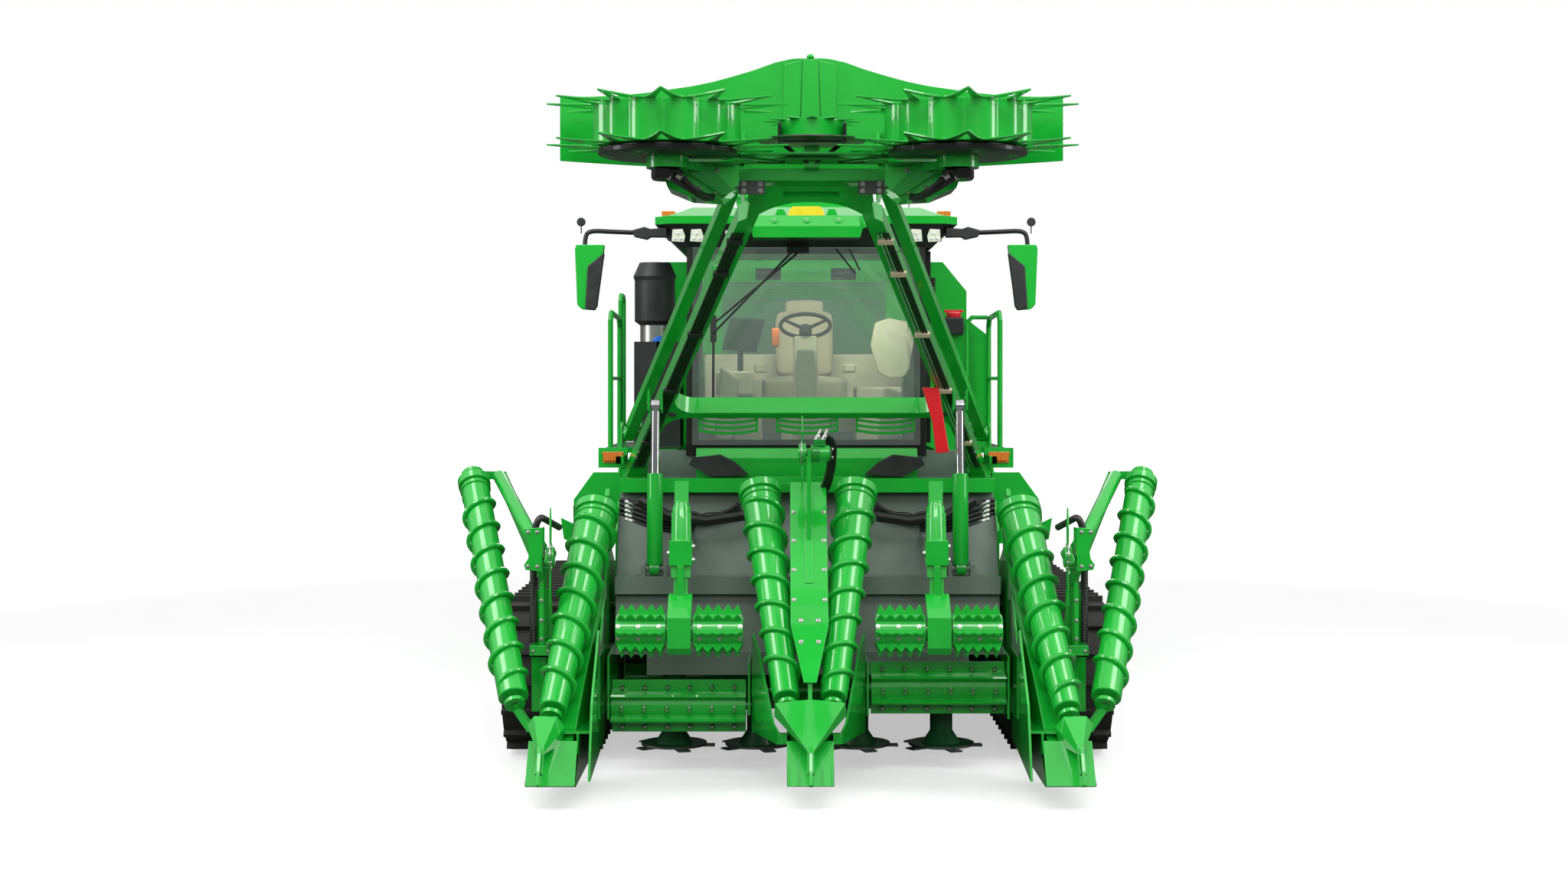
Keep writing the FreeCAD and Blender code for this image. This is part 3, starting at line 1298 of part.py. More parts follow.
for name, values in SCROLLS.items():
    feature(name, scroll_shape(*values))
for name, source in OPPOSITE.items():
    shape = scroll_shape(*SCROLLS[source])
    feature(name, shape.mirror(V(0, 0, 0), X_AXIS))
RIGHT_DIVIDER = divider_right()
mirror_piece(RIGHT_DIVIDER, "divider_left")
divider_centre()


def knife(label, at, radius):
    """An upright knife wheel: hub and four blades on a shaft across the machine."""
    piece = Piece(label, at=at)
    piece.pad("YZ", [circle(0, 0, 60), circle(0, 0, 21)], -22, 44)
    blade = piece.pad("YZ", [[(50, -22), (radius * 0.6, -34), (radius, -8), (radius, 8),
                              (radius * 0.6, 34), (50, 22)]], -4, 8)
    piece.around([blade], 4, "X_Axis")
    return piece.done()


knife("knife_right", (-1526, 900, 1362), 290)
knife("knife_left", (1526, 900, 1362), 290)
knife("knife_centre", (-38, 1130, 1967), 225)


# ---------------------------------------------------------------- crop rollers
def knockdown_roller(label, side):
    """A roller with saw-toothed strips on both sides of its post."""
    piece = Piece(label, at=(D.KnockX * side, D.KnockY, D.KnockZ))
    half = 375
    gap = 80
    teeth = 5
    body = 97.5
    piece.pad("YZ", [circle(0, 0, body)], gap, half - gap)
    piece.pad("YZ", [circle(0, 0, 60)], 0, gap + 1)
    pitch = (half - gap) / teeth
    outline = [(gap, body - 12)]
    for tooth in range(teeth):
        outline.append((gap + pitch * (tooth + 0.5), D.KnockTooth))
        root = body + 22 if tooth < teeth - 1 else body - 12
        outline.append((gap + pitch * (tooth + 1), root))
    strip = piece.pad("XZ", [outline], -6, 12)
    piece.around([strip], 8, "X_Axis")
    piece.mirror()
    return piece.done()


def knockdown_post(label, side):
    """The sliding post that carries a knockdown roller at its middle."""
    piece = Piece(label)
    x = side * float(D.KnockX)
    y = D.KnockY
    z = D.KnockZ
    piece.bar(V(x, float(y) + 130, 1040), V(x, float(y) + 260, 1790), 84, 84)
    piece.pad("YZ", [[(y - 110, z - 90), (y - 80, z - 130), (y + 60, z - 130),
                      (y + 150, z - 40), (y + 205, z + 210), (y + 70, z + 210),
                      (y - 110, z + 90)]], x - 70, 140)
    piece.cut("YZ", [circle(y, z, 66)], x - 80, 160)
    return piece.done()


def finned_roller(label, side, height):
    """A feed roller with bolted fins, on stub shafts."""
    piece = Piece(label, at=(side * 787.5, D.FinY, height))
    half = 407.5
    piece.pad("YZ", [circle(0, 0, 105)], -half, 2 * half)
    piece.pad("YZ", [circle(0, 0, 25)], -half - 32, 2 * half + 64)
    fin = piece.pad("XZ", [box_loop(-half, half, 95, 158)], -8, 16)
    piece.around([fin], 6, "X_Axis")
    return piece.done()


def butt_lifter():
    """The finned roller behind the base cutters."""
    piece = Piece("butt_lifter", at=(0, D.LifterY, 420))
    half = D.WallX - 35
    piece.pad("YZ", [circle(0, 0, 90)], -half, half * 2)
    piece.pad("YZ", [circle(0, 0, 25)], -D.WallX, D.WallX * 2)
    fin = piece.pad("XZ", [box_loop(-half, half, 80, 145)], -8, 16)
    piece.around([fin], 6, "X_Axis")
    return piece.done()


def base_cutter(label, x):
    """A disc with five blades under its leg."""
    piece = Piece(label, at=(x, D.CutterY, D.CutterZ))
    piece.turn("XZ", [(0, 0), (205, 0), (205, 14), (120, 14), (70, 90), (70, 438),
                      (0, 438)], "V_Axis")
    blade = piece.pad("XY", [box_loop(150, 255, -38, 38)], -10, 10)
    piece.around([blade], 5)
    return piece.done()


knockdown_roller("knockdown_roller_left", 1)
knockdown_roller("knockdown_roller_right", -1)
knockdown_post("knockdown_post_left", 1)
knockdown_post("knockdown_post_right", -1)
finned_roller("finned_roller_left", 1, D.FinLeft)
finned_roller("finned_roller_right", -1, D.FinRight)
butt_lifter()
for word, x in (("left_outer", 835), ("left_inner", 310),
                ("right_inner", -310), ("right_outer", -835)):
    base_cutter(f"base_cutter_{word}", x)


# ---------------------------------------------------------------- extractor and elevator
def extractor_hood():
    """Turning hood on the extractor tower, open towards the rear."""
    piece = Piece("extractor_hood", at=(0, D.TowerY, D.TowerTop + 6))
    wide = D.TowerRadius + 30
    skin = 15
    piece.turn("XZ", [(0, 0), (wide, 0), (wide, 260), (500, 880), (0, 880)], "V_Axis")
    piece.pad("YZ", [[(0, 294), (900, 44), (1050, 494), (650, 874), (0, 880)]], -560, 1120)
    piece.turn("XZ", [(0, -1), (wide - skin, -1), (wide - skin, 256), (485, 864),
                      (0, 864)], "V_Axis", hollow=True)
    piece.cut("YZ", [[(0, 314), (1150, -2), (1150, 424), (644, 856), (0, 864)]], -545, 1090)
    return piece.done()


def fan(label, at, radius, lean=0):
    """A fan: hub and four twisted blades."""
    piece = Piece(label, at=at, lean=lean)
    piece.pad("XY", [circle(0, 0, 110)], 0, 90)
    pitch = FreeCAD.Placement(V(0, 0, 40), FreeCAD.Rotation(X_AXIS, 28))
    blade = piece.pad("XY", [box_loop(90, radius, -70, 70)], 0, 10, pitch)
    piece.around([blade], 4)
    return piece.done()


SLEW = (0, D.SlewY, D.SlewZ)
FOOT_Y = D.SlewY + 480
FOOT_Z = D.SlewZ + 430
RISE = 31


def elevator_turntable():
    """The slewing ring and the ears that carry the elevator."""
    piece = Piece("elevator_turntable", at=SLEW)
    half = D.ElevatorHalf
    piece.pad("XY", [circle(0, 0, 520), circle(0, 0, 380)], 0, 60)
    piece.pad("YZ", [[(100, 0), (500, 0), (580, 470), (480, 530), (400, 480)]],
              half + 35, 20)
    piece.cut("YZ", [circle(480, 430, 46)], half + 30, 30)
    piece.mirror()
    return piece.done()


def on_elevator(along, lift):
    """A point given along and above the elevator, as a place in the datum."""
    angle = math.radians(RISE)
    return (0, FOOT_Y + along * math.cos(angle) - lift * math.sin(angle),
            FOOT_Z + along * math.sin(angle) + lift * math.cos(angle))


def elevator_frame():
    """Side walls, floor and cross tubes of the elevator, drawn level and then raised."""
    piece = Piece("elevator_frame", at=(0, FOOT_Y, FOOT_Z), lean=RISE)
    length = D.ElevatorLength
    half = D.ElevatorHalf
    piece.pad("YZ", [[(-700, 110), (-700, 250), (0, 330), (length, 330),
                      (length + 150, 100), (length, -150), (60, -150), (-640, 80)]], half - 6, 12)
    piece.pad("YZ", [box_loop(-600, length - 120, 85, 97)], 0, half)
    piece.pad("YZ", [circle(0, 0, 45)], half, 54)
    tube = piece.pad("YZ", [circle(200, -110, 30)], 0, half)
    piece.along([tube], "Y_Axis", length - 500, 6)
    piece.mirror()
    return piece.done()


def elevator_chain():
    """The slatted conveyor on the elevator's floor."""
    piece = Piece("elevator_chain", at=(0, FOOT_Y, FOOT_Z), lean=RISE)
    length = D.ElevatorLength
    half = D.ElevatorHalf - 18
    piece.pad("YZ", [box_loop(-640, length - 160, 99, 125)], half - 55, 30)
    slat = piece.pad("YZ", [box_loop(-560, -548, 104, 190)], 0, half)
    piece.along([slat], "Y_Axis", length - 300, 16)
    piece.mirror()
    return piece.done()


def bin_flap():
    """The flap that steers billets off the elevator's head."""
    piece = Piece("bin_flap", at=on_elevator(D.ElevatorLength + 178, 120), lean=RISE)
    half = D.ElevatorHalf - 10
    piece.pad("YZ", [[(-8, 0), (7, 0), (152, -550), (137, -550)]], -half, half * 2)
    piece.pad("YZ", [circle(0, 0, 16)], -half, half * 2)
    return piece.done()


def secondary_hood():
    """The small extractor hood on the elevator's head."""
    piece = Piece("secondary_hood", at=on_elevator(D.ElevatorLength - 300, 345), lean=RISE)
    piece.turn("XZ", [(390, 0), (400, 0), (400, 300), (280, 600), (270, 600), (390, 299)],
               "V_Axis")
    return piece.done()


extractor_hood()
fan("extractor_fan", (0, D.TowerY, 2700), 700)
elevator_turntable()
elevator_frame()
elevator_chain()
bin_flap()
secondary_hood()
fan("secondary_fan", on_elevator(D.ElevatorLength - 300, 465), 370, RISE)


# ---------------------------------------------------------------- checks and export
doc.recompute()
for obj in doc.Objects:
    for state in ("Invalid", "Error"):
        if state in obj.State:
            raise RuntimeError(f"{obj.Label} is {state}")
labels = [obj.Label for obj in SUBPARTS]
if len(set(labels)) != len(labels):
    raise RuntimeError("two sub-parts share a name")
for obj in SUBPARTS:
    if obj.Shape.isNull() or not obj.Shape.isValid() or not obj.Shape.Solids:
        raise RuntimeError(f"{obj.Label} has no valid solid")
os.makedirs("parts", exist_ok=True)
whole = FreeCAD.BoundBox()
for obj in SUBPARTS:
    obj.Shape.exportStep(f"parts/{obj.Label}.step")
    whole.add(obj.Shape.BoundBox)
    print(f"{obj.Label:24s} solids {len(obj.Shape.Solids):3d} "
          f"volume {obj.Shape.Volume / 1e9:8.4f} m3")
print("box", whole)
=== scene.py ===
# %% [markdown]
# # A tracked two-row cane harvester
# The solids of the machine come in as a fixed frame, in metres: X to the
# machine's left, Y backwards and Z up. Everything below gives those solids
# their finishes and adds the small things that a solid model leaves out, such
# as bolts, lamps, hoses and seams. The frame is loaded first, because every
# place in this lesson is read from it.

# %% Load the frame
import json
import math
import random

import bmesh
import bpy
from mathutils import Matrix, Vector


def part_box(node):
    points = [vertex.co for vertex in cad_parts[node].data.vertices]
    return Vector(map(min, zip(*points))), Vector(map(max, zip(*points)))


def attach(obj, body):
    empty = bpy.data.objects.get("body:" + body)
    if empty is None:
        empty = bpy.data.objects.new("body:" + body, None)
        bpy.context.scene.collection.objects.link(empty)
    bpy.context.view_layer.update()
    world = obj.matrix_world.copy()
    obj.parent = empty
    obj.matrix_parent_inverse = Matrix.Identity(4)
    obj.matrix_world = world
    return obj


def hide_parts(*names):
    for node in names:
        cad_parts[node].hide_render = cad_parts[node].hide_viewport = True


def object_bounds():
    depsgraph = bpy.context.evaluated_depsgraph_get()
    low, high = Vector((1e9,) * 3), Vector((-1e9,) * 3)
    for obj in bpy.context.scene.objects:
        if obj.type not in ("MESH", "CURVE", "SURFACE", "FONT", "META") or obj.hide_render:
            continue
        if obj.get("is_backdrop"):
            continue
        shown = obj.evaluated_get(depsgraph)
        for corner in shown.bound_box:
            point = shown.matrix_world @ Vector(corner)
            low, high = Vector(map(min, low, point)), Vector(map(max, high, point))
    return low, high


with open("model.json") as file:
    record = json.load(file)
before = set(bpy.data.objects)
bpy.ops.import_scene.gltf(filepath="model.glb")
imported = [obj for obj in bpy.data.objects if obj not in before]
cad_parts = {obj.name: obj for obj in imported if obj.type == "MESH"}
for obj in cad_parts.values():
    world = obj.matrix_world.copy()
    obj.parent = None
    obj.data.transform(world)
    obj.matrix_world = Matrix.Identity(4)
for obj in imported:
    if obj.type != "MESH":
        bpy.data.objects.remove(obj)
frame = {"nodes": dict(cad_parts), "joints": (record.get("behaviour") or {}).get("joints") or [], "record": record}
cad_box = [list(corner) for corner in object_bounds()]
nodes = frame["nodes"]
body_of_node = {name: body for body, members in
                frame["record"]["behaviour"]["bodies"].items() for name in members}
TIP = cad_box[0][1] + 1.245
print(len(nodes), "solids, box from", cad_box[0], "to", cad_box[1])

# %% [markdown]
# A long lens from far in front shows the machine square on, with little
# perspective. The camera stays level, so upright posts stay upright, and a
# small shift drops the view instead of a tilt.

# %% Camera
CAMERA_BACK = 11.36
LENS_MM = 47.7
VIEW_SHIFT = -0.0378
camera_data = bpy.data.cameras.new("camera")
camera_data.lens = LENS_MM
camera_data.shift_y = VIEW_SHIFT
camera_data.clip_end = 200
camera = bpy.data.objects.new("camera", camera_data)
camera.location = (-0.148, TIP - CAMERA_BACK, 2.40)
camera.rotation_euler = (math.radians(90), 0, 0)
bpy.context.collection.objects.link(camera)
bpy.context.scene.camera = camera
bpy.context.scene.view_settings.view_transform = "Standard"
print("camera stands", round(-camera.location.y, 2), "m in front of the middle")

# %% [markdown]
# Colours are written as the sRGB hex values that a paint chart gives, while
# shaders work in linear light, so one function turns one into the other. One
# more function adds a shader node: it takes the node's kind, its settings and
# what is linked to its sockets, so that each finish below reads as a recipe.

# %% Colour and node helpers
def linear(colour):
    """An sRGB hex colour as linear red, green, blue and alpha."""
    out = []
    for start in (1, 3, 5):
        value = int(colour[start:start + 2], 16) / 255
        out.append(value / 12.92 if value <= 0.04045 else ((value + 0.055) / 1.055) ** 2.4)
    return (*out, 1.0)


def add(tree, kind, settings=None, inputs=None):
    """Adds one shader node. An input is a plain value, or a socket to link from."""
    node = tree.nodes.new(kind)
    for name, value in (settings or {}).items():
        setattr(node, name, value)
    for name, value in (inputs or {}).items():
        socket = node.inputs[name]
        if isinstance(value, bpy.types.NodeSocket):
            tree.links.new(value, socket)
        else:
            socket.default_value = value
    return node


def ramp(tree, source, stops):
    """A colour ramp over a factor, with (place, hex colour) stops."""
    node = add(tree, "ShaderNodeValToRGB", inputs={"Fac": source})
    elements = node.color_ramp.elements
    while len(elements) < len(stops):
        elements.new(0.5)
    for element, (place, colour) in zip(elements, stops):
        element.position = place
        element.color = linear(colour)
    return node.outputs["Color"]


print("white is", linear("#FFFFFF")[:3])

# %% [markdown]
# Gloss paint is judged by what it reflects, so the light is as important as
# the colour. Long soft boxes above and to each side draw the pale streaks
# along tubes and edges, and a dim plain world fills the shade. The floor is
# almost white and keeps the soft shadow under the machine.

# %% Light and floor
world = bpy.data.worlds.new("studio")
bpy.context.scene.world = world
world.use_nodes = True
tree = world.node_tree
tree.nodes.clear()
path = add(tree, "ShaderNodeLightPath")
seen = add(tree, "ShaderNodeMath", {"operation": "MAXIMUM"},
           {0: path.outputs["Is Camera Ray"], 1: path.outputs["Is Glossy Ray"]})
seen = add(tree, "ShaderNodeMath", {"operation": "MAXIMUM"},
           {0: seen.outputs[0], 1: path.outputs["Is Transmission Ray"]})
way = add(tree, "ShaderNodeTexCoord")
height = add(tree, "ShaderNodeSeparateXYZ", inputs={0: way.outputs["Generated"]})
level = add(tree, "ShaderNodeMapRange", {"interpolation_type": "SMOOTHSTEP"}, {
    "Value": height.outputs["Z"], "From Min": 0.02, "From Max": 0.5, "To Min": 0.08,
    "To Max": 1.0})
level = add(tree, "ShaderNodeMath", {"operation": "MAXIMUM"}, {
    0: level.outputs[0], 1: path.outputs["Is Camera Ray"]})
level = add(tree, "ShaderNodeMath", {"operation": "MAXIMUM"}, {
    0: level.outputs[0], 1: path.outputs["Is Transmission Ray"]})
fill = add(tree, "ShaderNodeBackground", inputs={"Color": linear("#FFFFFF"), "Strength": 0.50})
plain = add(tree, "ShaderNodeBackground", inputs={
    "Color": linear("#FFFFFF"), "Strength": level.outputs[0]})
both = add(tree, "ShaderNodeMixShader",
           inputs={"Fac": seen.outputs[0], 1: fill.outputs[0], 2: plain.outputs[0]})
add(tree, "ShaderNodeOutputWorld", inputs={"Surface": both.outputs[0]})


def soft_box(name, place, aim, size, radiance):
    """A rectangular lamp whose face shows the given radiance in a reflection."""
    data = bpy.data.lights.new(name, "AREA")
    data.shape = "RECTANGLE"
    data.size, data.size_y = size
    data.energy = radiance * math.pi * size[0] * size[1]
    lamp = bpy.data.objects.new(name, data)
    lamp.location = place
    lamp.rotation_euler = (Vector(aim) - Vector(place)).to_track_quat("-Z", "Y").to_euler()
    bpy.context.collection.objects.link(lamp)
    return lamp


soft_box("left_strip", (6.5, -7.0, 6.5), (0, -4.0, 1.5), (2.0, 12.0), 6.8)
soft_box("right_strip", (-6.5, -7.0, 6.5), (0, -4.0, 1.5), (2.0, 12.0), 6.8)
soft_box("front_top", (0, -14.0, 9.5), (0, -5.0, 1.5), (9.0, 2.5), 8.5)
front_low = soft_box("front_low", (0, -19.0, 5.2), (0, -5.0, 2.6), (11.0, 3.0), 5.0)
front_low.visible_glossy = False
soft_box("back_top", (0, 11.0, 9.0), (0, 2.0, 2.0), (8.0, 3.0), 4.0)
dome = soft_box("cab_dome", (0, TIP + 2.85, 3.24), (0, TIP + 4.3, 2.75), (1.3, 0.3), 26.0)
dome.visible_glossy = False

floor_mesh = bpy.data.meshes.new("floor")
FLOOR = 60.0
floor_mesh.from_pydata([(-FLOOR, -FLOOR, 0), (FLOOR, -FLOOR, 0), (FLOOR, FLOOR, 0),
                        (-FLOOR, FLOOR, 0)], [], [(0, 1, 2, 3)])
floor = bpy.data.objects.new("floor", floor_mesh)
floor.location.z = -0.002
bpy.context.collection.objects.link(floor)
floor_paint = bpy.data.materials.new("floor_matt_white")
floor_paint.use_nodes = True
tree = floor_paint.node_tree
tree.nodes.clear()
path = add(tree, "ShaderNodeLightPath")
matt = add(tree, "ShaderNodeBsdfDiffuse", inputs={"Color": linear("#C8C8C8")})
dim = add(tree, "ShaderNodeBsdfDiffuse", inputs={"Color": linear("#6E6E6E")})
place = add(tree, "ShaderNodeTexCoord")
far = add(tree, "ShaderNodeVectorMath", {"operation": "LENGTH"}, {
    0: place.outputs["Object"]})
glare = add(tree, "ShaderNodeMapRange", {"interpolation_type": "SMOOTHSTEP"}, {
    "Value": far.outputs["Value"], "From Min": 7.0, "From Max": 16.0, "To Min": 0.5,
    "To Max": 1.0})
glow = add(tree, "ShaderNodeEmission", inputs={
    "Color": linear("#FFFFFF"), "Strength": glare.outputs[0]})
pale = add(tree, "ShaderNodeAddShader", inputs={0: matt.outputs[0], 1: glow.outputs[0]})
mixed = add(tree, "ShaderNodeMixShader", inputs={
    "Fac": path.outputs["Is Camera Ray"], 1: dim.outputs[0], 2: pale.outputs[0]})
add(tree, "ShaderNodeOutputMaterial", inputs={"Surface": mixed.outputs[0]})
floor_mesh.materials.append(floor_paint)
floor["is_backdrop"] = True
print("five soft boxes over a floor", 2 * FLOOR, "m wide")

# %% [markdown]
# ## Finishes
# Most of the machine is sprayed steel. Gloss enamel is a coloured coat with a
# clear, mirror-smooth skin over it, so it gets a clear coat over a slightly
# rough base. Sprayed paint never lies quite flat: a fine orange-peel ripple of
# a few millimetres breaks up the reflections. Sheet steel edges are never
# knife-sharp either, so a small rounding catches the light on each edge.

# %% Enamel paint
def mottled(tree, low, high, size_mm, detail=3.0):
    """A soft variation between two hex colours, at a real size."""
    place = add(tree, "ShaderNodeTexCoord")
    noise = add(tree, "ShaderNodeTexNoise", inputs={
        "Vector": place.outputs["Object"], "Scale": 1000.0 / size_mm, "Detail": detail})
    return ramp(tree, noise.outputs["Fac"], [(0.3, low), (0.7, high)])


def grain(tree, size_mm, height_mm, under=None, detail=2.0):
    """A bump of fine grain, laid over the normal given."""
    place = add(tree, "ShaderNodeTexCoord")
    noise = add(tree, "ShaderNodeTexNoise", inputs={
        "Vector": place.outputs["Object"], "Scale": 1000.0 / size_mm, "Detail": detail})
    inputs = {"Height": noise.outputs["Fac"], "Distance": height_mm / 1000, "Strength": 0.4}
    if under is not None:
        inputs["Normal"] = under
    return add(tree, "ShaderNodeBump", inputs=inputs).outputs["Normal"]


def rounded(tree, radius_mm):
    """The normal of edges that are rounded over to a small radius."""
    node = add(tree, "ShaderNodeBevel", {"samples": 4}, {"Radius": radius_mm / 1000})
    return node.outputs["Normal"]


def start_material(name):
    """A new material with an empty tree and its output."""
    material = bpy.data.materials.new(name)
    material.use_nodes = True
    tree = material.node_tree
    tree.nodes.clear()
    return material, tree


def finish_material(tree, shader):
    """Links a shader to the material's output."""
    add(tree, "ShaderNodeOutputMaterial", inputs={"Surface": shader})


def enamel(name, low, high, roughness=0.32, coat=1.0, edge_mm=4.0):
    """Sprayed gloss enamel on sheet steel: a deep colour under a clear skin."""
    material, tree = start_material(name)
    peel = grain(tree, 9.0, 0.05, rounded(tree, edge_mm))
    shader = add(tree, "ShaderNodeBsdfPrincipled", inputs={
        "Base Color": mottled(tree, low, high, 420.0), "Roughness": roughness,
        "Specular IOR Level": 0.25, "Coat Weight": coat, "Coat Roughness": 0.04, "IOR": 1.5, "Normal": peel,
        "Coat Normal": peel})
    finish_material(tree, shader.outputs[0])
    return material


GREEN = enamel("green_gloss_enamel", "#0FA32C", "#16AD34")
# The next finish is the same green enamel made darker: painted shade for the knife motor, the drum struts and the
# cutter carrier, which sit in shadow.
SHADED_GREEN = enamel("green_enamel_painted_shade", "#0E7A26", "#128A2C", 0.4, 0.6)
BLACK_PAINT = enamel("black_satin_enamel", "#141514", "#1C1D1C", 0.45, 0.3)
RED_PAINT = enamel("red_gloss_enamel", "#D0141C", "#DE1F26")
GREY_PAINT = enamel("grey_primer_paint", "#66726A", "#707C73", 0.45, 0.3)
print("enamels:", GREEN.name, SHADED_GREEN.name, BLACK_PAINT.name, RED_PAINT.name)

# %% [markdown]
# Guards, mirror backs and lamp housings are moulded ABS. The mould leaves a
# leathery grain of about a millimetre that scatters the light, so black
# plastic looks softer and greyer than black paint.

# %% Moulded plastics
def moulded(name, low, high, roughness, grain_mm, height_mm=0.15, edge_mm=3.0):
    """Injection moulded plastic with a grain from the mould's face."""
    material, tree = start_material(name)
    normal = grain(tree, grain_mm, height_mm, rounded(tree, edge_mm))
    shader = add(tree, "ShaderNodeBsdfPrincipled", inputs={
        "Base Color": mottled(tree, low, high, 90.0), "Roughness": roughness,
        "IOR": 1.46, "Normal": normal})
    finish_material(tree, shader.outputs[0])
    return material


BLACK_ABS = moulded("black_moulded_abs", "#1D1E1F", "#2A2B2C", 0.48, 3.0)
GREY_ABS = moulded("grey_moulded_abs", "#4A4C4D", "#565859", 0.5, 3.0)
BEIGE_ABS = moulded("beige_moulded_abs", "#CDBB9C", "#D9C9AD", 0.55, 3.0)
BLUE_CAP = moulded("blue_polyethylene", "#1456B8", "#1D66CC", 0.4, 5.0)
ORANGE_GRIP = moulded("orange_moulded_grip", "#D9621C", "#E8742A", 0.4, 5.0)
YELLOW_ABS = moulded("yellow_moulded_abs", "#E6C41C", "#F2D22C", 0.35, 6.0)
print("plastics:", BLACK_ABS.name, BEIGE_ABS.name, GREY_ABS.name)

# %% [markdown]
# Tracks and hoses are rubber. Vulcanised rubber is almost black, dusty on its
# raised faces and dull, with a little sheen where it has been rubbed. The
# hoses are smoother and keep a long soft highlight.

# %% Rubber
def rubber(name, low, high, roughness, dust_mm):
    """Black rubber with paler dust in a soft pattern."""
    material, tree = start_material(name)
    normal = grain(tree, 4.0, 0.3, rounded(tree, 4.0))
    shader = add(tree, "ShaderNodeBsdfPrincipled", inputs={
        "Base Color": mottled(tree, low, high, dust_mm, 6.0), "Roughness": roughness,
        "IOR": 1.52, "Normal": normal})
    finish_material(tree, shader.outputs[0])
    return material


TRACK_RUBBER = rubber("vulcanised_track_rubber", "#1A1A19", "#2C2B29", 0.75, 120.0)
HOSE_RUBBER = rubber("smooth_hose_rubber", "#0E0E0E", "#1A1A1A", 0.38, 60.0)
print("rubbers:", TRACK_RUBBER.name, HOSE_RUBBER.name)

# %% [markdown]
# Bare metals keep a plain white or grey reflection. Ram rods are hard chrome,
# ground and polished, and show thin rings. Bolts and pipe fittings are zinc
# plated: paler, rougher and faintly cloudy. Blades are bare ground steel.

# %% Bare metals
def bare_metal(name, low, high, roughness, cloud_mm, scratch_mm=None):
    """Metal with a cloudy tone, and fine scratches where it was ground."""
    material, tree = start_material(name)
    normal = rounded(tree, 2.0)
    if scratch_mm:
        normal = grain(tree, scratch_mm, 0.05, normal, 6.0)
    shader = add(tree, "ShaderNodeBsdfPrincipled", inputs={
        "Base Color": mottled(tree, low, high, cloud_mm, 5.0), "Metallic": 1.0,
        "Roughness": roughness, "Normal": normal})
    finish_material(tree, shader.outputs[0])
    return material


CHROME = bare_metal("hard_chrome_rod", "#C4C6C8", "#D2D4D6", 0.12, 300.0)
ZINC = bare_metal("zinc_plated_steel", "#B9BBB6", "#D0D1CC", 0.35, 12.0, 3.0)
BLADE_STEEL = bare_metal("ground_blade_steel", "#6E716E", "#8A8D89", 0.38, 40.0, 2.0)
# A much darker green enamel with little clear coat, used on the fans, the elevator chain and the base cutters'
# shanks.
DARK_STEEL = enamel("dark_green_enamel", "#0D3A1B", "#15502A", 0.5, 0.2)
CAST_GREY = enamel("grey_painted_cast_iron", "#3E4140", "#4C4F4E", 0.55, 0.1)
print("metals:", CHROME.name, ZINC.name, BLADE_STEEL.name)

# %% [markdown]
# Cab glass is laminated and lightly tinted green. Real panes are a few
# millimetres thick, so light goes straight through: a thin film of reflection
# over a mostly clear, tinted sheet gives that look without bending what is
# behind it. Lamp lenses are clear or amber polycarbonate, moulded with ribs.

# %% Glass and lenses
def pane(name, tint, clear, glow_share):
    """A thin sheet: tinted see-through, a mirror-like reflection and a painted pale sheen that glows whatever the
    light.
    """
    material, tree = start_material(name)
    through = add(tree, "ShaderNodeBsdfTransparent", inputs={"Color": linear(tint)})
    gloss = add(tree, "ShaderNodeBsdfGlossy", inputs={
        "Color": linear("#FFFFFF"), "Roughness": 0.01})
    fresnel = add(tree, "ShaderNodeFresnel", inputs={"IOR": 1.5})
    share = add(tree, "ShaderNodeMath", {"operation": "MULTIPLY_ADD"},
                {0: fresnel.outputs[0], 1: 1.0 - clear, 2: 0.02})
    mixed = add(tree, "ShaderNodeMixShader", inputs={
        "Fac": share.outputs[0], 1: through.outputs[0], 2: gloss.outputs[0]})
    # The pale film is an emission: a painted sheen that glows on the glass with no lamp behind it.
    film = add(tree, "ShaderNodeEmission", inputs={"Color": linear("#DCEFE4"), "Strength": 0.6})
    with_glow = add(tree, "ShaderNodeMixShader", inputs={
        "Fac": glow_share, 1: mixed.outputs[0], 2: film.outputs[0]})
    finish_material(tree, with_glow.outputs[0])
    return material


def ribbed_lens(name, low, high, rib_mm, glow):
    """A moulded lens with ribs, bright as if lit from its reflector."""
    material, tree = start_material(name)
    place = add(tree, "ShaderNodeTexCoord")
    ribs = add(tree, "ShaderNodeTexWave", {"bands_direction": "X"}, {
        "Vector": place.outputs["Object"], "Scale": 1000.0 / rib_mm / 6.2832})
    bump = add(tree, "ShaderNodeBump", inputs={
        "Height": ribs.outputs["Fac"], "Distance": 0.002, "Strength": 0.5})
    shader = add(tree, "ShaderNodeBsdfPrincipled", inputs={
        "Base Color": ramp(tree, ribs.outputs["Fac"], [(0.0, low), (1.0, high)]),
        "Roughness": 0.08, "IOR": 1.58, "Coat Weight": 1.0, "Normal": bump.outputs["Normal"],
        "Emission Color": linear(high), "Emission Strength": glow})
    finish_material(tree, shader.outputs[0])
    return material


# The last number sets how much painted sheen glows over the panes.
CAB_GLASS = pane("laminated_tinted_glass", "#E4EEE8", 0.1, 0.12)
CLEAR_LENS = ribbed_lens("clear_polycarbonate_lens", "#D8DCDE", "#F4F6F6", 9.0, 0.15)
AMBER_LENS = ribbed_lens("amber_polycarbonate_lens", "#C2631A", "#E8853A", 9.0, 0.0)
MIRROR_GLASS = bare_metal("silvered_mirror_glass", "#DADDDD", "#E2E5E5", 0.03, 500.0)
LED_FACE = ribbed_lens("led_lens_array", "#EDE9D2", "#FFFFF2", 12.0, 0.35)
print("clear finishes:", CAB_GLASS.name, CLEAR_LENS.name, AMBER_LENS.name)

# %% [markdown]
# The seat is upholstered in a close woven cloth. Single threads are a fraction
# of a millimetre across and could not be seen from here, so the weave is drawn
# at four millimetres, coarse enough to break up the surface.

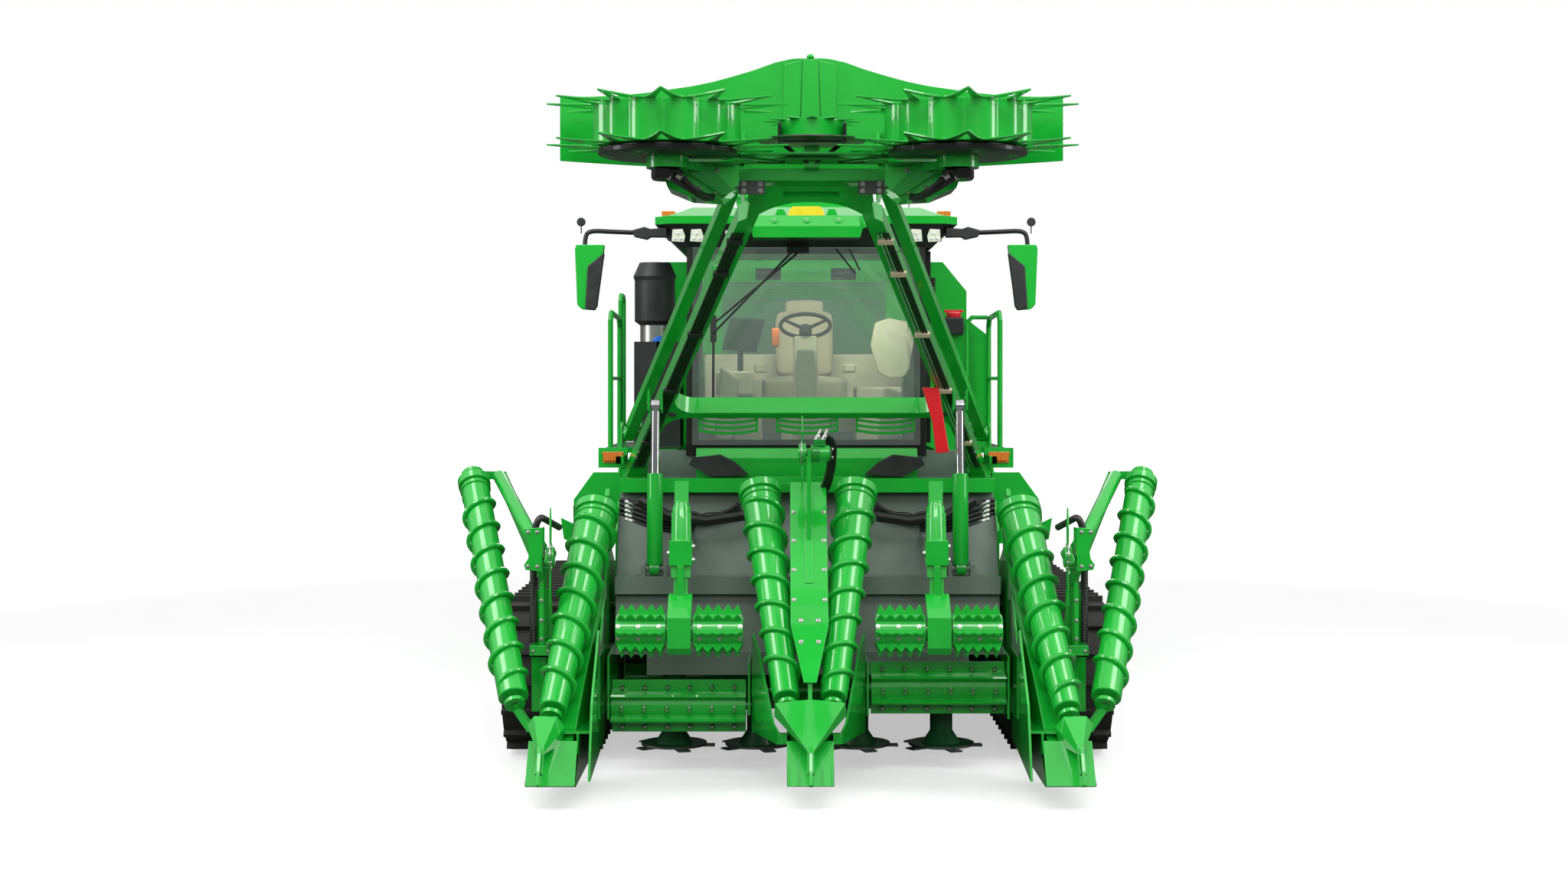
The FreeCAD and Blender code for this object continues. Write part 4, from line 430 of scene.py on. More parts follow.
# %% Woven seat cloth
def woven(name, low, high, thread_mm):
    """A plain weave: two sets of ribs crossing at right angles."""
    material, tree = start_material(name)
    place = add(tree, "ShaderNodeTexCoord")
    scale = 1000.0 / thread_mm / 6.2832
    warp = add(tree, "ShaderNodeTexWave", {"bands_direction": "X"}, {
        "Vector": place.outputs["Object"], "Scale": scale})
    weft = add(tree, "ShaderNodeTexWave", {"bands_direction": "Z"}, {
        "Vector": place.outputs["Object"], "Scale": scale})
    crossed = add(tree, "ShaderNodeMath", {"operation": "MULTIPLY"}, {
        0: warp.outputs["Fac"], 1: weft.outputs["Fac"]})
    bump = add(tree, "ShaderNodeBump", inputs={
        "Height": crossed.outputs[0], "Distance": 0.001, "Strength": 0.5})
    shader = add(tree, "ShaderNodeBsdfPrincipled", inputs={
        "Base Color": ramp(tree, crossed.outputs[0], [(0.0, low), (1.0, high)]),
        "Roughness": 0.9, "Sheen Weight": 0.3, "Normal": bump.outputs["Normal"]})
    finish_material(tree, shader.outputs[0])
    return material


SEAT_CLOTH = woven("woven_seat_cloth", "#A8977B", "#C6B596", 4.0)
print("cloth:", SEAT_CLOTH.name)

# %% [markdown]
# ## Dressing the solids
# A solid that already has the right shape keeps its mesh and only gets a
# finish. Where one solid holds two finishes, such as a black lamp tray under
# a green roof band, each face is given its slot by where it lies. Lengths
# along the machine are measured backwards from the divider tips.

# %% Finishes for whole solids
def dress(name, finish, rules=()):
    """Gives a solid its finish, and other finishes to the faces that pass a test."""
    mesh = nodes[name].data
    mesh.materials.clear()
    for material in [finish] + [material for material, _ in rules]:
        mesh.materials.append(material)
    for face in mesh.polygons:
        x, y, z = face.center
        face.material_index = 0
        for slot, (_, test) in enumerate(rules, start=1):
            if test(x, y - TIP, z):
                face.material_index = slot


ALL_GREEN = [
    "crop_housing", "decks", "engine_cover", "side_tanks", "railings", "topper_boom",
    "topper_links", "topper_head", "topper_deflector", "gathering_drum_left",
    "gathering_drum_right", "divider_left", "divider_right", "divider_centre",
    "scroll_left_outer", "scroll_left_inner", "scroll_centre_left", "scroll_centre_right",
    "scroll_right_inner", "scroll_right_outer", "knockdown_post_left",
    "knockdown_post_right", "knockdown_roller_left", "knockdown_roller_right",
    "finned_roller_left", "finned_roller_right", "extractor_hood", "elevator_turntable",
    "elevator_frame", "bin_flap", "secondary_hood", "butt_lifter", "main_frame"]
for name in ALL_GREEN:
    dress(name, GREEN)
for name in ("track_left", "track_right"):
    dress(name, TRACK_RUBBER)
for name in ("extractor_fan", "secondary_fan", "elevator_chain"):
    dress(name, DARK_STEEL)
for name in ("cab_glass", "door_glass"):
    dress(name, CAB_GLASS)
for name in ("door_frame", "track_frames"):
    dress(name, BLACK_PAINT)
dress("cab_frame", BLACK_PAINT, [(GREEN, lambda x, y, z: y > 4.05 and abs(x) < 0.8)])
dress("main_frame", GREEN, [
    (GREY_PAINT, lambda x, y, z: abs(x) < 1.14 and 1.5 < y < 2.45 and z < 1.60)])
dress("engine_block", CAST_GREY)
dress("hydraulic_hoses", HOSE_RUBBER)
print("dressed", len(ALL_GREEN), "green solids and the tracks, fans, glass and frames")

# %% Finishes for solids of two materials
CAB_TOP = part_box("cab_frame")[1].z
SPIN_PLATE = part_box("topper_cutter")[0].z + 0.012
dress("cab_roof", GREEN, [(BLACK_ABS, lambda x, y, z: z < CAB_TOP + 0.147 and y > 2.4)])
dress("cab_interior", BEIGE_ABS, [
    (BLACK_ABS, lambda x, y, z: y < 3.12 and z > 2.49),
    (BLACK_ABS, lambda x, y, z: z > 2.44 and x < -0.38)])
dress("air_intake", BLACK_ABS, [(ZINC, lambda x, y, z: 2.69 < z < 2.765)])
dress("mirrors", BLACK_ABS)
dress("lamps", BLACK_ABS, [(AMBER_LENS, lambda x, y, z: abs(x) > 1.2)])
dress("topper_cutter", BLADE_STEEL, [(GREEN, lambda x, y, z: z > SPIN_PLATE)])
for name in ("knife_left", "knife_right", "knife_centre"):
    dress(name, GREEN)
for side in ("left_outer", "left_inner", "right_inner", "right_outer"):
    dress("base_cutter_" + side, DARK_STEEL, [(BLADE_STEEL, lambda x, y, z: z < 0.14)])
dress("lift_barrels", GREEN)
dress("lift_rods", CHROME)
undressed = [name for name in nodes if not any(nodes[name].data.materials)]
print("solids with no finish:", undressed)

# %% [markdown]
# ## Tools for new pieces
# New pieces are drawn from a few kinds of shape. A plate is an outline pushed
# to a thickness, a turned piece is a profile spun round an axis, and a hose is
# a smooth line with a round section. Each goes straight to its place, and
# rides on the body that carries it.

# %% Shape helpers
def at(x, y, z):
    """A place given from the divider tips, in metres."""
    return Vector((x, y + TIP, z))


def piece(name, verts, faces, finish, body, sharp=30.0, round_mm=0.0):
    """A mesh piece that rides on a body, smooth except at its sharp edges."""
    mesh = bpy.data.meshes.new(name)
    mesh.from_pydata([tuple(v) for v in verts], [], faces)
    work = bmesh.new()
    work.from_mesh(mesh)
    bmesh.ops.recalc_face_normals(work, faces=work.faces)
    for edge in work.edges:
        if len(edge.link_faces) == 2 and edge.calc_face_angle(0) > math.radians(sharp):
            edge.smooth = False
    for face in work.faces:
        face.smooth = True
    work.to_mesh(mesh)
    work.free()
    mesh.materials.append(finish)
    made = bpy.data.objects.new(name, mesh)
    bpy.context.collection.objects.link(made)
    if round_mm:
        bevel = made.modifiers.new("rounded", "BEVEL")
        bevel.width = round_mm / 1000
        bevel.segments = 2
        bevel.limit_method = "ANGLE"
        bevel.angle_limit = math.radians(40)
        bevel.harden_normals = True
    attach(made, body)
    return made


def join_shapes(shapes):
    """Many (verts, faces) shapes as one."""
    verts, faces = [], []
    for more_verts, more_faces in shapes:
        shift = len(verts)
        verts += more_verts
        faces += [tuple(i + shift for i in face) for face in more_faces]
    return verts, faces


def facing(axis):
    """A turn that carries the Z axis to the given axis."""
    return Vector(axis).to_track_quat("Z", "Y").to_matrix()


def turned(profile, base, axis, sides=32):
    """A profile of (radius, height) spun round an axis through a base point."""
    turn = facing(axis)
    verts, faces = [], []
    for radius, height in profile:
        for i in range(sides):
            angle = 2 * math.pi * i / sides
            verts.append(Vector(base) + turn @ Vector(
                (radius * math.cos(angle), radius * math.sin(angle), height)))
    for row in range(len(profile) - 1):
        for i in range(sides):
            j = (i + 1) % sides
            faces.append((row * sides + i, row * sides + j,
                          (row + 1) * sides + j, (row + 1) * sides + i))
    faces.append(tuple(reversed(range(sides))))
    faces.append(tuple(range(len(verts) - sides, len(verts))))
    return verts, faces


def plate(outline, low, high, plane="XY"):
    """An outline pushed from low to high. The plane names the outline's two axes."""
    def place(a, b, depth):
        return {"XY": at(a, b, depth), "XZ": at(a, depth, b), "YZ": at(depth, a, b)}[plane]
    count = len(outline)
    verts = [place(a, b, low) for a, b in outline] + [place(a, b, high) for a, b in outline]
    faces = [tuple(range(count)), tuple(range(count, 2 * count))]
    faces += [(i, (i + 1) % count, count + (i + 1) % count, count + i) for i in range(count)]
    return verts, faces


def block(x, y, z):
    """A box between three pairs of limits."""
    return plate([(x[0], y[0]), (x[1], y[0]), (x[1], y[1]), (x[0], y[1])], z[0], z[1])


def mirrored(shape):
    """The same shape on the other side of the machine."""
    verts, faces = shape
    return [Vector((-v.x, v.y, v.z)) for v in verts], [tuple(reversed(f)) for f in faces]


def both_sides(shapes):
    """Shapes with their mirror images, as one shape."""
    return join_shapes(shapes + [mirrored(shape) for shape in shapes])


def hex_heads(places, axis, across_mm, sides=6):
    """Bolt heads with washers, standing on a surface along an axis."""
    radius = across_mm / 2000
    shapes = []
    for place in places:
        shapes.append(turned([(radius * 1.45, 0), (radius * 1.45, radius * 0.25)],
                             place, axis, 12))
        shapes.append(turned([(radius, radius * 0.2), (radius, radius * 0.95),
                              (radius * 0.75, radius * 1.1)], place, axis, sides))
    return join_shapes(shapes)


def hose(name, points, radius, finish, body, smooth=True):
    """A round line through points: smooth for a hose, straight runs for a pipe."""
    curve = bpy.data.curves.new(name, "CURVE")
    curve.dimensions = "3D"
    curve.bevel_depth = radius
    curve.bevel_resolution = 3
    curve.resolution_u = 10
    curve.use_fill_caps = True
    spline = curve.splines.new("NURBS" if smooth else "POLY")
    spline.points.add(len(points) - 1)
    for control, point in zip(spline.points, points):
        control.co = (*point, 1.0)
    if smooth:
        spline.order_u = 3
        spline.use_endpoint_u = True
    curve.materials.append(finish)
    made = bpy.data.objects.new(name, curve)
    bpy.context.collection.objects.link(made)
    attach(made, body)
    return made


print("helpers ready; the tips lie at y =", round(at(0, 0, 0).y, 3))

# %% [markdown]
# ## Crop scrolls
# Each scroll is a rolled and welded tube with a round bar wound round it. The
# bar's crest is what catches the light, so the tube is turned with many sides
# and the bar is swept along a helix with a rounded section. The axis comes from
# the scroll's joint, the length from the solid, and the radii are listed.

# %% Scrolls
SCROLLS = {  # foot radius, head radius, flight height, turns, hand
    "scroll_right_outer": (0.087, 0.087, 0.030, 8, 1),
    "scroll_right_inner": (0.080, 0.127, 0.035, 7, -1),
    "scroll_centre_right": (0.076, 0.120, 0.030, 7, -1),
    "scroll_left_outer": (0.087, 0.087, 0.030, 8, -1),
    "scroll_left_inner": (0.080, 0.127, 0.035, 7, 1),
    "scroll_centre_left": (0.076, 0.120, 0.030, 7, 1)}
COLLAR, COLLAR_LENGTH, MARGIN, WIRE = 0.014, 0.055, 0.07, 0.0155


def flight(foot, turn, radius_at, height, start, end, turns, hand, steps=44):
    """A wound bar: half its round section stands out of the tube."""
    section = [(math.cos(a), math.sin(a)) for a in
               [math.radians(d) for d in (-25, 10, 45, 90, 135, 170, 205)]]
    verts, faces = [], []
    count = int(turns * steps)
    for step in range(count + 1):
        angle = hand * 2 * math.pi * step / steps
        level = start + (end - start) * step / count
        rise = height * min(1.0, step / 10 + 0.1, (count - step) / 10 + 0.1)
        for across, out in section:
            radius = radius_at(level) + rise * (0.45 + 0.55 * out) - 0.004
            verts.append(foot + turn @ Vector((radius * math.cos(angle),
                                               radius * math.sin(angle),
                                               level + across * WIRE)))
    width = len(section)
    for step in range(count):
        for i in range(width):
            j = (i + 1) % width
            faces.append((step * width + i, step * width + j,
                          (step + 1) * width + j, (step + 1) * width + i))
    faces.append(tuple(range(width)))
    faces.append(tuple(reversed(range(count * width, count * width + width))))
    return verts, faces


joints = {joint["name"]: joint for joint in frame["joints"]}
for name, (foot_radius, head_radius, height, turns, hand) in SCROLLS.items():
    joint = joints[name + "_spin"]
    foot = Vector(joint["pos_m"])
    axis = Vector(joint["axis"]).normalized()
    length = 0.0
    for vertex in nodes[name].data.vertices:
        reach = (vertex.co - foot).dot(axis)
        if (vertex.co - foot - axis * reach).length > 0.05:
            length = max(length, reach)
    turn = facing(axis)

    def radius_at(level):
        return foot_radius + (head_radius - foot_radius) * level / length

    shoulder = length - COLLAR_LENGTH
    profile = [(0.03, -0.001), (foot_radius - 0.006, 0.0), (foot_radius, 0.006),
               (radius_at(shoulder - 0.012), shoulder - 0.012),
               (radius_at(shoulder) - 0.006, shoulder - 0.010),
               (radius_at(shoulder) - 0.006, shoulder - 0.002),
               (radius_at(shoulder) + COLLAR, shoulder),
               (head_radius + COLLAR, length - 0.004), (head_radius + COLLAR - 0.004, length),
               (head_radius * 0.55, length), (head_radius * 0.5, length - 0.012)]
    tube = turned(profile, foot, axis, 48)
    end = shoulder - MARGIN
    bar = flight(foot, turn, radius_at, height, MARGIN, end, turns, hand)
    ring_level = shoulder - 0.045
    ring = turned([(radius_at(ring_level) - 0.002, ring_level),
                   (radius_at(ring_level) + 0.009, ring_level + 0.002),
                   (radius_at(ring_level) + 0.009, ring_level + 0.010),
                   (radius_at(ring_level) - 0.002, ring_level + 0.012)], foot, axis, 48)
    made = piece(name + "_wound", *join_shapes([tube, bar, ring]), GREEN,
                 body_of_node[name], 40.0)
    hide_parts(name)
print("wound", len(SCROLLS), "scrolls")

# %% [markdown]
# ## Gathering drums
# A drum is a wall of rolled sheet pressed into lobes between two star plates.
# Each point of a star is a thin leaf with a long triangular window, so the
# points look light from every side.

# %% Drums
DRUM_POINTS = 12
DRUM_OUT, LOBE_LOW, LOBE_RISE = 0.625, 0.358, 0.028
drum_low, drum_high = 3.605, 3.824
LEAF_RISE = 0.06


def star_plate(centre, height, turn_by, thick=0.008):
    """One star: a ring of leaves, each with a window, as flat sheet."""
    shapes = []
    for i in range(DRUM_POINTS):
        middle = turn_by + 2 * math.pi * i / DRUM_POINTS
        half = math.pi / DRUM_POINTS

        def corner(radius, swing):
            angle = middle + swing
            return (centre[0] + radius * math.cos(angle), centre[1] + radius * math.sin(angle))

        outer = [corner(0.395, -half), corner(0.408, -half * 0.80), corner(0.44, -0.15),
                 corner(0.52, -0.070), corner(DRUM_OUT, -0.006), corner(DRUM_OUT, 0.006),
                 corner(0.52, 0.070), corner(0.44, 0.15), corner(0.408, half * 0.80),
                 corner(0.395, half)]
        inner = [corner(0.30, -half), corner(0.32, -half * 0.62), corner(0.392, -0.085),
                 corner(0.47, -0.040), corner(0.555, -0.001), corner(0.555, 0.001),
                 corner(0.47, 0.040), corner(0.392, 0.085), corner(0.32, half * 0.62),
                 corner(0.30, half)]
        levels = [height + LEAF_RISE * max(0.0, math.dist(p, centre) - 0.395)
                  for p in outer + inner]
        verts = [at(*p, z) for p, z in zip(outer + inner, levels)]
        verts += [at(*p, z + thick) for p, z in zip(outer + inner, levels)]
        count, faces = len(outer), []
        for k in range(count - 1):
            a, b, c, d = k, k + 1, count + k + 1, count + k
            faces += [(a, b, c, d), tuple(v + 2 * count for v in (d, c, b, a)),
                      (a, a + 2 * count, b + 2 * count, b),
                      (d, c, c + 2 * count, d + 2 * count)]
        shapes.append((verts, faces))
    return join_shapes(shapes)


def lobed_wall(centre, low, high, turn_by, skin=0.006, sides=144):
    """The pressed wall, bulging between the star's points."""
    verts, faces = [], []
    for level in (low, high):
        for offset in (0.0, -skin):
            for i in range(sides):
                angle = 2 * math.pi * i / sides
                lobe = abs(math.sin(DRUM_POINTS * (angle - turn_by) / 2))
                radius = LOBE_LOW + LOBE_RISE * lobe + offset
                verts.append(at(centre[0] + radius * math.cos(angle),
                                centre[1] + radius * math.sin(angle), level))
    for i in range(sides):
        j = (i + 1) % sides
        faces += [(i, j, 2 * sides + j, 2 * sides + i),
                  (3 * sides + i, 3 * sides + j, sides + j, sides + i),
                  (sides + i, sides + j, j, i),
                  (2 * sides + i, 2 * sides + j, 3 * sides + j, 3 * sides + i)]
    return verts, faces


for side, name in ((1, "gathering_drum_left"), (-1, "gathering_drum_right")):
    low_corner, high_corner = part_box(name)
    middle = (low_corner + high_corner) / 2
    centre = (middle.x, middle.y - TIP)
    phase = math.radians(-90)
    shapes = [star_plate(centre, drum_low, phase), star_plate(centre, drum_high - 0.008, phase),
              lobed_wall(centre, drum_low + 0.004, drum_high - 0.004, phase),
              turned([(0.08, 0), (0.08, drum_high - drum_low - 0.02)],
                     at(*centre, drum_low + 0.006), (0, 0, 1)),
              turned([(0.335, 0), (0.335, 0.008)], at(*centre, drum_low + 0.001), (0, 0, 1), 48)]
    made = piece(name + "_lobed", *join_shapes(shapes), GREEN, name, 50.0)
    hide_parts(name)
    print(name, "centre", [round(v, 3) for v in centre], "to radius", DRUM_OUT)

# %% [markdown]
# ## Cab roof and its lamps
# The roof is a moulded cap over a black tray, and the working lamps sit in the
# tray's sloping front. Each lamp is a cluster: a bright reflector with five
# sides, a bezel and three small lenses. They are drawn flat and then leaned
# back onto the slope.

# %% Working lamps
TRAY_LOW, TRAY_HIGH = (2.57, 3.30), (2.45, 3.448)
slope = Vector((0, TRAY_HIGH[0] - TRAY_LOW[0], TRAY_HIGH[1] - TRAY_LOW[1])).normalized()
outward = Vector((1, 0, 0)).cross(slope)


def on_tray(x, up, out):
    """A point on the tray's front, up its slope and out from it."""
    return at(x, *TRAY_LOW) + slope * up + outward * out


def leaned(outline, low, high):
    """A plate that lies on the tray's slope."""
    count = len(outline)
    verts = [on_tray(x, up, low) for x, up in outline]
    verts += [on_tray(x, up, high) for x, up in outline]
    faces = [tuple(range(count)), tuple(range(count, 2 * count))]
    faces += [(i, (i + 1) % count, count + (i + 1) % count, count + i) for i in range(count)]
    return verts, faces


LAMP = [(-0.036, 0.045), (0.03, 0.05), (0.046, -0.005), (0.036, -0.052), (-0.046, -0.046)]
bezels, reflectors, lenses = [], [], []
for x in (-0.853, -0.73, 0.73, 0.853):
    lean_x = 1 if x < 0 else -1
    shape = [(x + a * lean_x, 0.105 + b) for a, b in LAMP]
    rim = [(x + a * lean_x * 1.16, 0.105 + b * 1.16) for a, b in LAMP]
    bezels.append(leaned(rim, 0.0, 0.012))
    reflectors.append(leaned(shape, 0.010, 0.018))
    for a, b in ((0.0, 0.02), (-0.02, -0.022), (0.018, -0.024)):
        lenses.append(turned([(0.012, 0), (0.011, 0.006), (0.005, 0.010)],
                             on_tray(x + a * lean_x, 0.105 + b, 0.017), outward, 16))
for x in (-0.50, 0.50):
    bezels.append(leaned([(x - 0.055, 0.055), (x + 0.055, 0.055), (x + 0.055, 0.15),
                          (x - 0.055, 0.15)], 0.0, 0.012))
    for a in (-0.024, 0.024):
        for b in (0.078, 0.126):
            lenses.append(turned([(0.018, 0), (0.016, 0.006), (0.006, 0.010)],
                                 on_tray(x + a, b, 0.011), outward, 16))
piece("lamp_bezels", *join_shapes(bezels), BLACK_ABS, "chassis", round_mm=3)
piece("lamp_reflectors", *join_shapes(reflectors), LED_FACE, "chassis", round_mm=2)
piece("lamp_lenses", *join_shapes(lenses), CLEAR_LENS, "chassis")
print("lamps:", len(reflectors), "clusters and", len(lenses), "lenses")

# %% [markdown]
# The visor carries three round bosses, and a plain yellow plate with no words
# stands behind it. Small amber markers sit on the roof's front corners.

# %% Visor bosses, plain plate, markers and aerials
bosses = [turned([(0.026, 0), (0.022, 0.006), (0.012, 0.009)], at(x, 2.243, 3.452),
                 (0, -0.66, 0.75), 20) for x in (-0.21, 0, 0.21)]
studs = [turned([(0.009, 0.008), (0.008, 0.014)], at(x, 2.243, 3.452), (0, -0.66, 0.75), 6)
         for x in (-0.21, 0, 0.21)]
piece("visor_bosses", *join_shapes(bosses), GREEN, "chassis")
piece("visor_studs", *join_shapes(studs), ZINC, "chassis")
visor_lips = both_sides([
    plate([(0.35, 3.340), (0.368, 3.40), (0.395, 3.41), (0.35, 3.489)], 2.235, 2.60, "XZ")])
piece("visor_cheeks", *visor_lips, GREEN, "chassis", round_mm=4)
badge = [(-0.125, 3.49), (0.125, 3.49), (0.110, 3.540), (0.092, 3.560), (-0.092, 3.560),
         (-0.110, 3.540)]
piece("plain_yellow_plate", *plate(badge, 2.42, 2.436, "XZ"), YELLOW_ABS, "chassis",
      round_mm=4)
tabs = both_sides([plate([(0.125, 3.49), (0.215, 3.49), (0.19, 3.545), (0.15, 3.545)],
                         2.43, 2.44, "XZ")])
piece("plate_tabs", *tabs, GREEN, "chassis", round_mm=2)
corner_lamps = both_sides([block((0.87, 0.965), (2.50, 2.54), (3.50, 3.538))])
piece("roof_corner_markers", *corner_lamps, AMBER_LENS, "chassis", round_mm=6)
side_markers = both_sides([block((1.001, 1.009), (2.62, 2.72), (3.462, 3.486))])
piece("roof_side_markers", *side_markers, CLEAR_LENS, "chassis", round_mm=2)
aerials = [turned([(0.012, 0), (0.009, 0.03), (0.0035, 0.035), (0.003, 0.115)],
                  at(x, 3.0, 3.558), (0, 0, 1), 10) for x in (0.62, 0.715)]
piece("roof_aerials", *join_shapes(aerials), BLACK_ABS, "chassis")
print("plain plate is", round(badge[1][0] * 2, 2), "m wide")

# %% [markdown]
# ## Mirrors
# The mirror heads face backwards, so from the front their backs show: a green
# moulded shell over a black inner half. The arm is a bent steel tube in a
# thick hinge at the roof's corner. Turning the arm as one smooth line keeps
# the bend even.

# %% Mirrors
HEAD = [(1.345, 3.302), (1.345, 3.309), (1.528, 3.309), (1.538, 3.28), (1.522, 2.91),
        (1.495, 2.880), (1.41, 2.873), (1.393, 2.90)]
INNER = [(1.342, 3.255), (1.452, 3.165), (1.470, 2.885), (1.41, 2.871), (1.390, 2.902)]
shell = piece("mirror_shells", *both_sides([plate(HEAD, 2.436, 2.54, "XZ")]), GREEN,
              "chassis", round_mm=14)
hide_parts("mirrors")
piece("mirror_inner_halves", *both_sides([plate(INNER, 2.428, 2.50, "XZ")]), BLACK_ABS,
      "chassis", round_mm=8)
glass_outline = [(1.365, 3.29), (1.515, 3.29), (1.505, 2.90), (1.41, 2.895)]
piece("mirror_glass", *both_sides([plate(glass_outline, 2.538, 2.543, "XZ")]), MIRROR_GLASS,
      "chassis")
for side, word in ((1, "left"), (-1, "right")):
    hose("mirror_arm_" + word, [at(side * 1.10, 2.53, 3.392), at(side * 1.30, 2.51, 3.398),
                                at(side * 1.44, 2.50, 3.405), at(side * 1.475, 2.495, 3.37),
                                at(side * 1.475, 2.49, 3.30)], 0.016, BLACK_PAINT, "chassis")
knuckles = both_sides([
    plate([(0.93, 3.36), (1.04, 3.362), (1.06, 3.345), (1.15, 3.365), (1.16, 3.41),
           (1.08, 3.432), (1.04, 3.418), (0.93, 3.425)], 2.50, 2.56, "XZ")])
piece("mirror_hinges", *knuckles, BLACK_ABS, "chassis", round_mm=8)
small_mirrors = both_sides([
    turned([(0.004, 0), (0.004, 0.06)], at(1.50, 2.495, 3.385), (0, 0, 1), 8),
    turned([(0.028, -0.006), (0.030, 0.0), (0.026, 0.012)], at(1.50, 2.49, 3.462),
           (0, -1, 0), 20)])
piece("round_wide_mirrors", *small_mirrors, BLACK_ABS, "chassis")
print("mirror heads reach x =", HEAD[3][0])

# %% [markdown]
# ## Windscreen
# The pane is bonded into a black border, and one wiper hangs from the top with
# two parallel arms, so that its blade stays upright as it sweeps. Arms and
# blades are thin, so each is a simple round or flat bar just off the glass.

# %% Wiper and pane border
GLASS_LOW, GLASS_HIGH = (2.480, 1.965), (2.570, 3.298)


def on_glass(x, z, off=0.012):
    """A point just in front of the leaning windscreen."""
    share = (z - GLASS_LOW[1]) / (GLASS_HIGH[1] - GLASS_LOW[1])
    return at(x, GLASS_LOW[0] + (GLASS_HIGH[0] - GLASS_LOW[0]) * share - off, z)


def glass_strip(x0, z0, x1, z1, off=0.004, thick=0.004):
    """A flat strip that lies on the pane."""
    corners = [(x0, z0), (x1, z0), (x1, z1), (x0, z1)]
    verts = [on_glass(x, z, off) for x, z in corners]
    verts += [on_glass(x, z, off + thick) for x, z in corners]
    return verts, [(0, 1, 2, 3), (4, 5, 6, 7), (0, 1, 5, 4), (1, 2, 6, 5), (2, 3, 7, 6),
                   (3, 0, 4, 7)]


border = [glass_strip(-0.76, 3.255, 0.76, 3.292), glass_strip(-0.76, 1.972, 0.76, 2.01)]
border += [glass_strip(side * 0.76, 1.972, side * 0.718, 3.292) for side in (-1, 1)]
piece("windscreen_border", *join_shapes(border), BLACK_ABS, "chassis")
for number, (start, end) in enumerate((((-0.03, 3.28), (-0.60, 2.80)),
                                       ((-0.09, 3.27), (-0.62, 2.72)))):
    hose(f"wiper_arm_{number}", [on_glass(*start, 0.045), on_glass(*end, 0.045)], 0.0075,
         BLACK_PAINT, "chassis", smooth=False)
piece("wiper_blade", *join_shapes([glass_strip(-0.627, 2.28, -0.611, 2.84, 0.012, 0.03),
                                   glass_strip(-0.640, 2.66, -0.598, 2.84, 0.03, 0.014)]),
      BLACK_ABS, "chassis", round_mm=2)
motor = block((-0.13, 0.02), (2.515, 2.56), (3.255, 3.30))
piece("wiper_motor", *motor, BLACK_ABS, "chassis", round_mm=6)
rods = [((0.20, 3.285), (0.33, 3.12)), ((0.29, 3.285), (0.36, 3.14))]
for number, (start, end) in enumerate(rods):
    hose(f"washer_pipe_{number}", [on_glass(*start, 0.03), on_glass(*end, 0.03)], 0.006,
         BLACK_PAINT, "chassis", smooth=False)
print("wiper blade stands", round(2.84 - 2.28, 2), "m tall")

# %% [markdown]
# ## Inside the cab
# The driver's chair is a moulded foam seat in woven cloth on a beige shell.
# Foam swells between its seams, so each cushion is a coarse box that is
# subdivided: the corners pull in and the middle crowns. The chair, console and
# column replace the plain solids, at the same places.

# %% Chair, column and consoles
def cushion(name, x, y, z, finish, crown=0.02, lean=0.0):
    """A crowned cushion in a box: a subdivided cage with its middle raised."""
    mesh = bpy.data.meshes.new(name)
    work = bmesh.new()
    bmesh.ops.create_cube(work, size=1.0)
    bmesh.ops.subdivide_edges(work, edges=work.edges[:], cuts=3, use_grid_fill=True)
    size = Vector((x[1] - x[0], y[1] - y[0], z[1] - z[0]))
    middle = at((x[0] + x[1]) / 2, (y[0] + y[1]) / 2, (z[0] + z[1]) / 2)
    tip = Matrix.Rotation(math.radians(lean), 3, "X")
    for vertex in work.verts:
        co = vertex.co.copy()
        swell = (1 - (2 * co.x) ** 2) * (1 - (2 * co.y) ** 2)
        co.z += swell * crown / size.z * (1 if co.z > 0 else 0)
        vertex.co = middle + tip @ Vector((co.x * size.x, co.y * size.y, co.z * size.z))
    work.to_mesh(mesh)
    work.free()
    mesh.materials.append(finish)
    for face in mesh.polygons:
        face.use_smooth = True
    made = bpy.data.objects.new(name, mesh)
    bpy.context.collection.objects.link(made)
    soft = made.modifiers.new("soft", "SUBSURF")
    soft.levels = soft.render_levels = 2
    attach(made, "chassis")
    return made


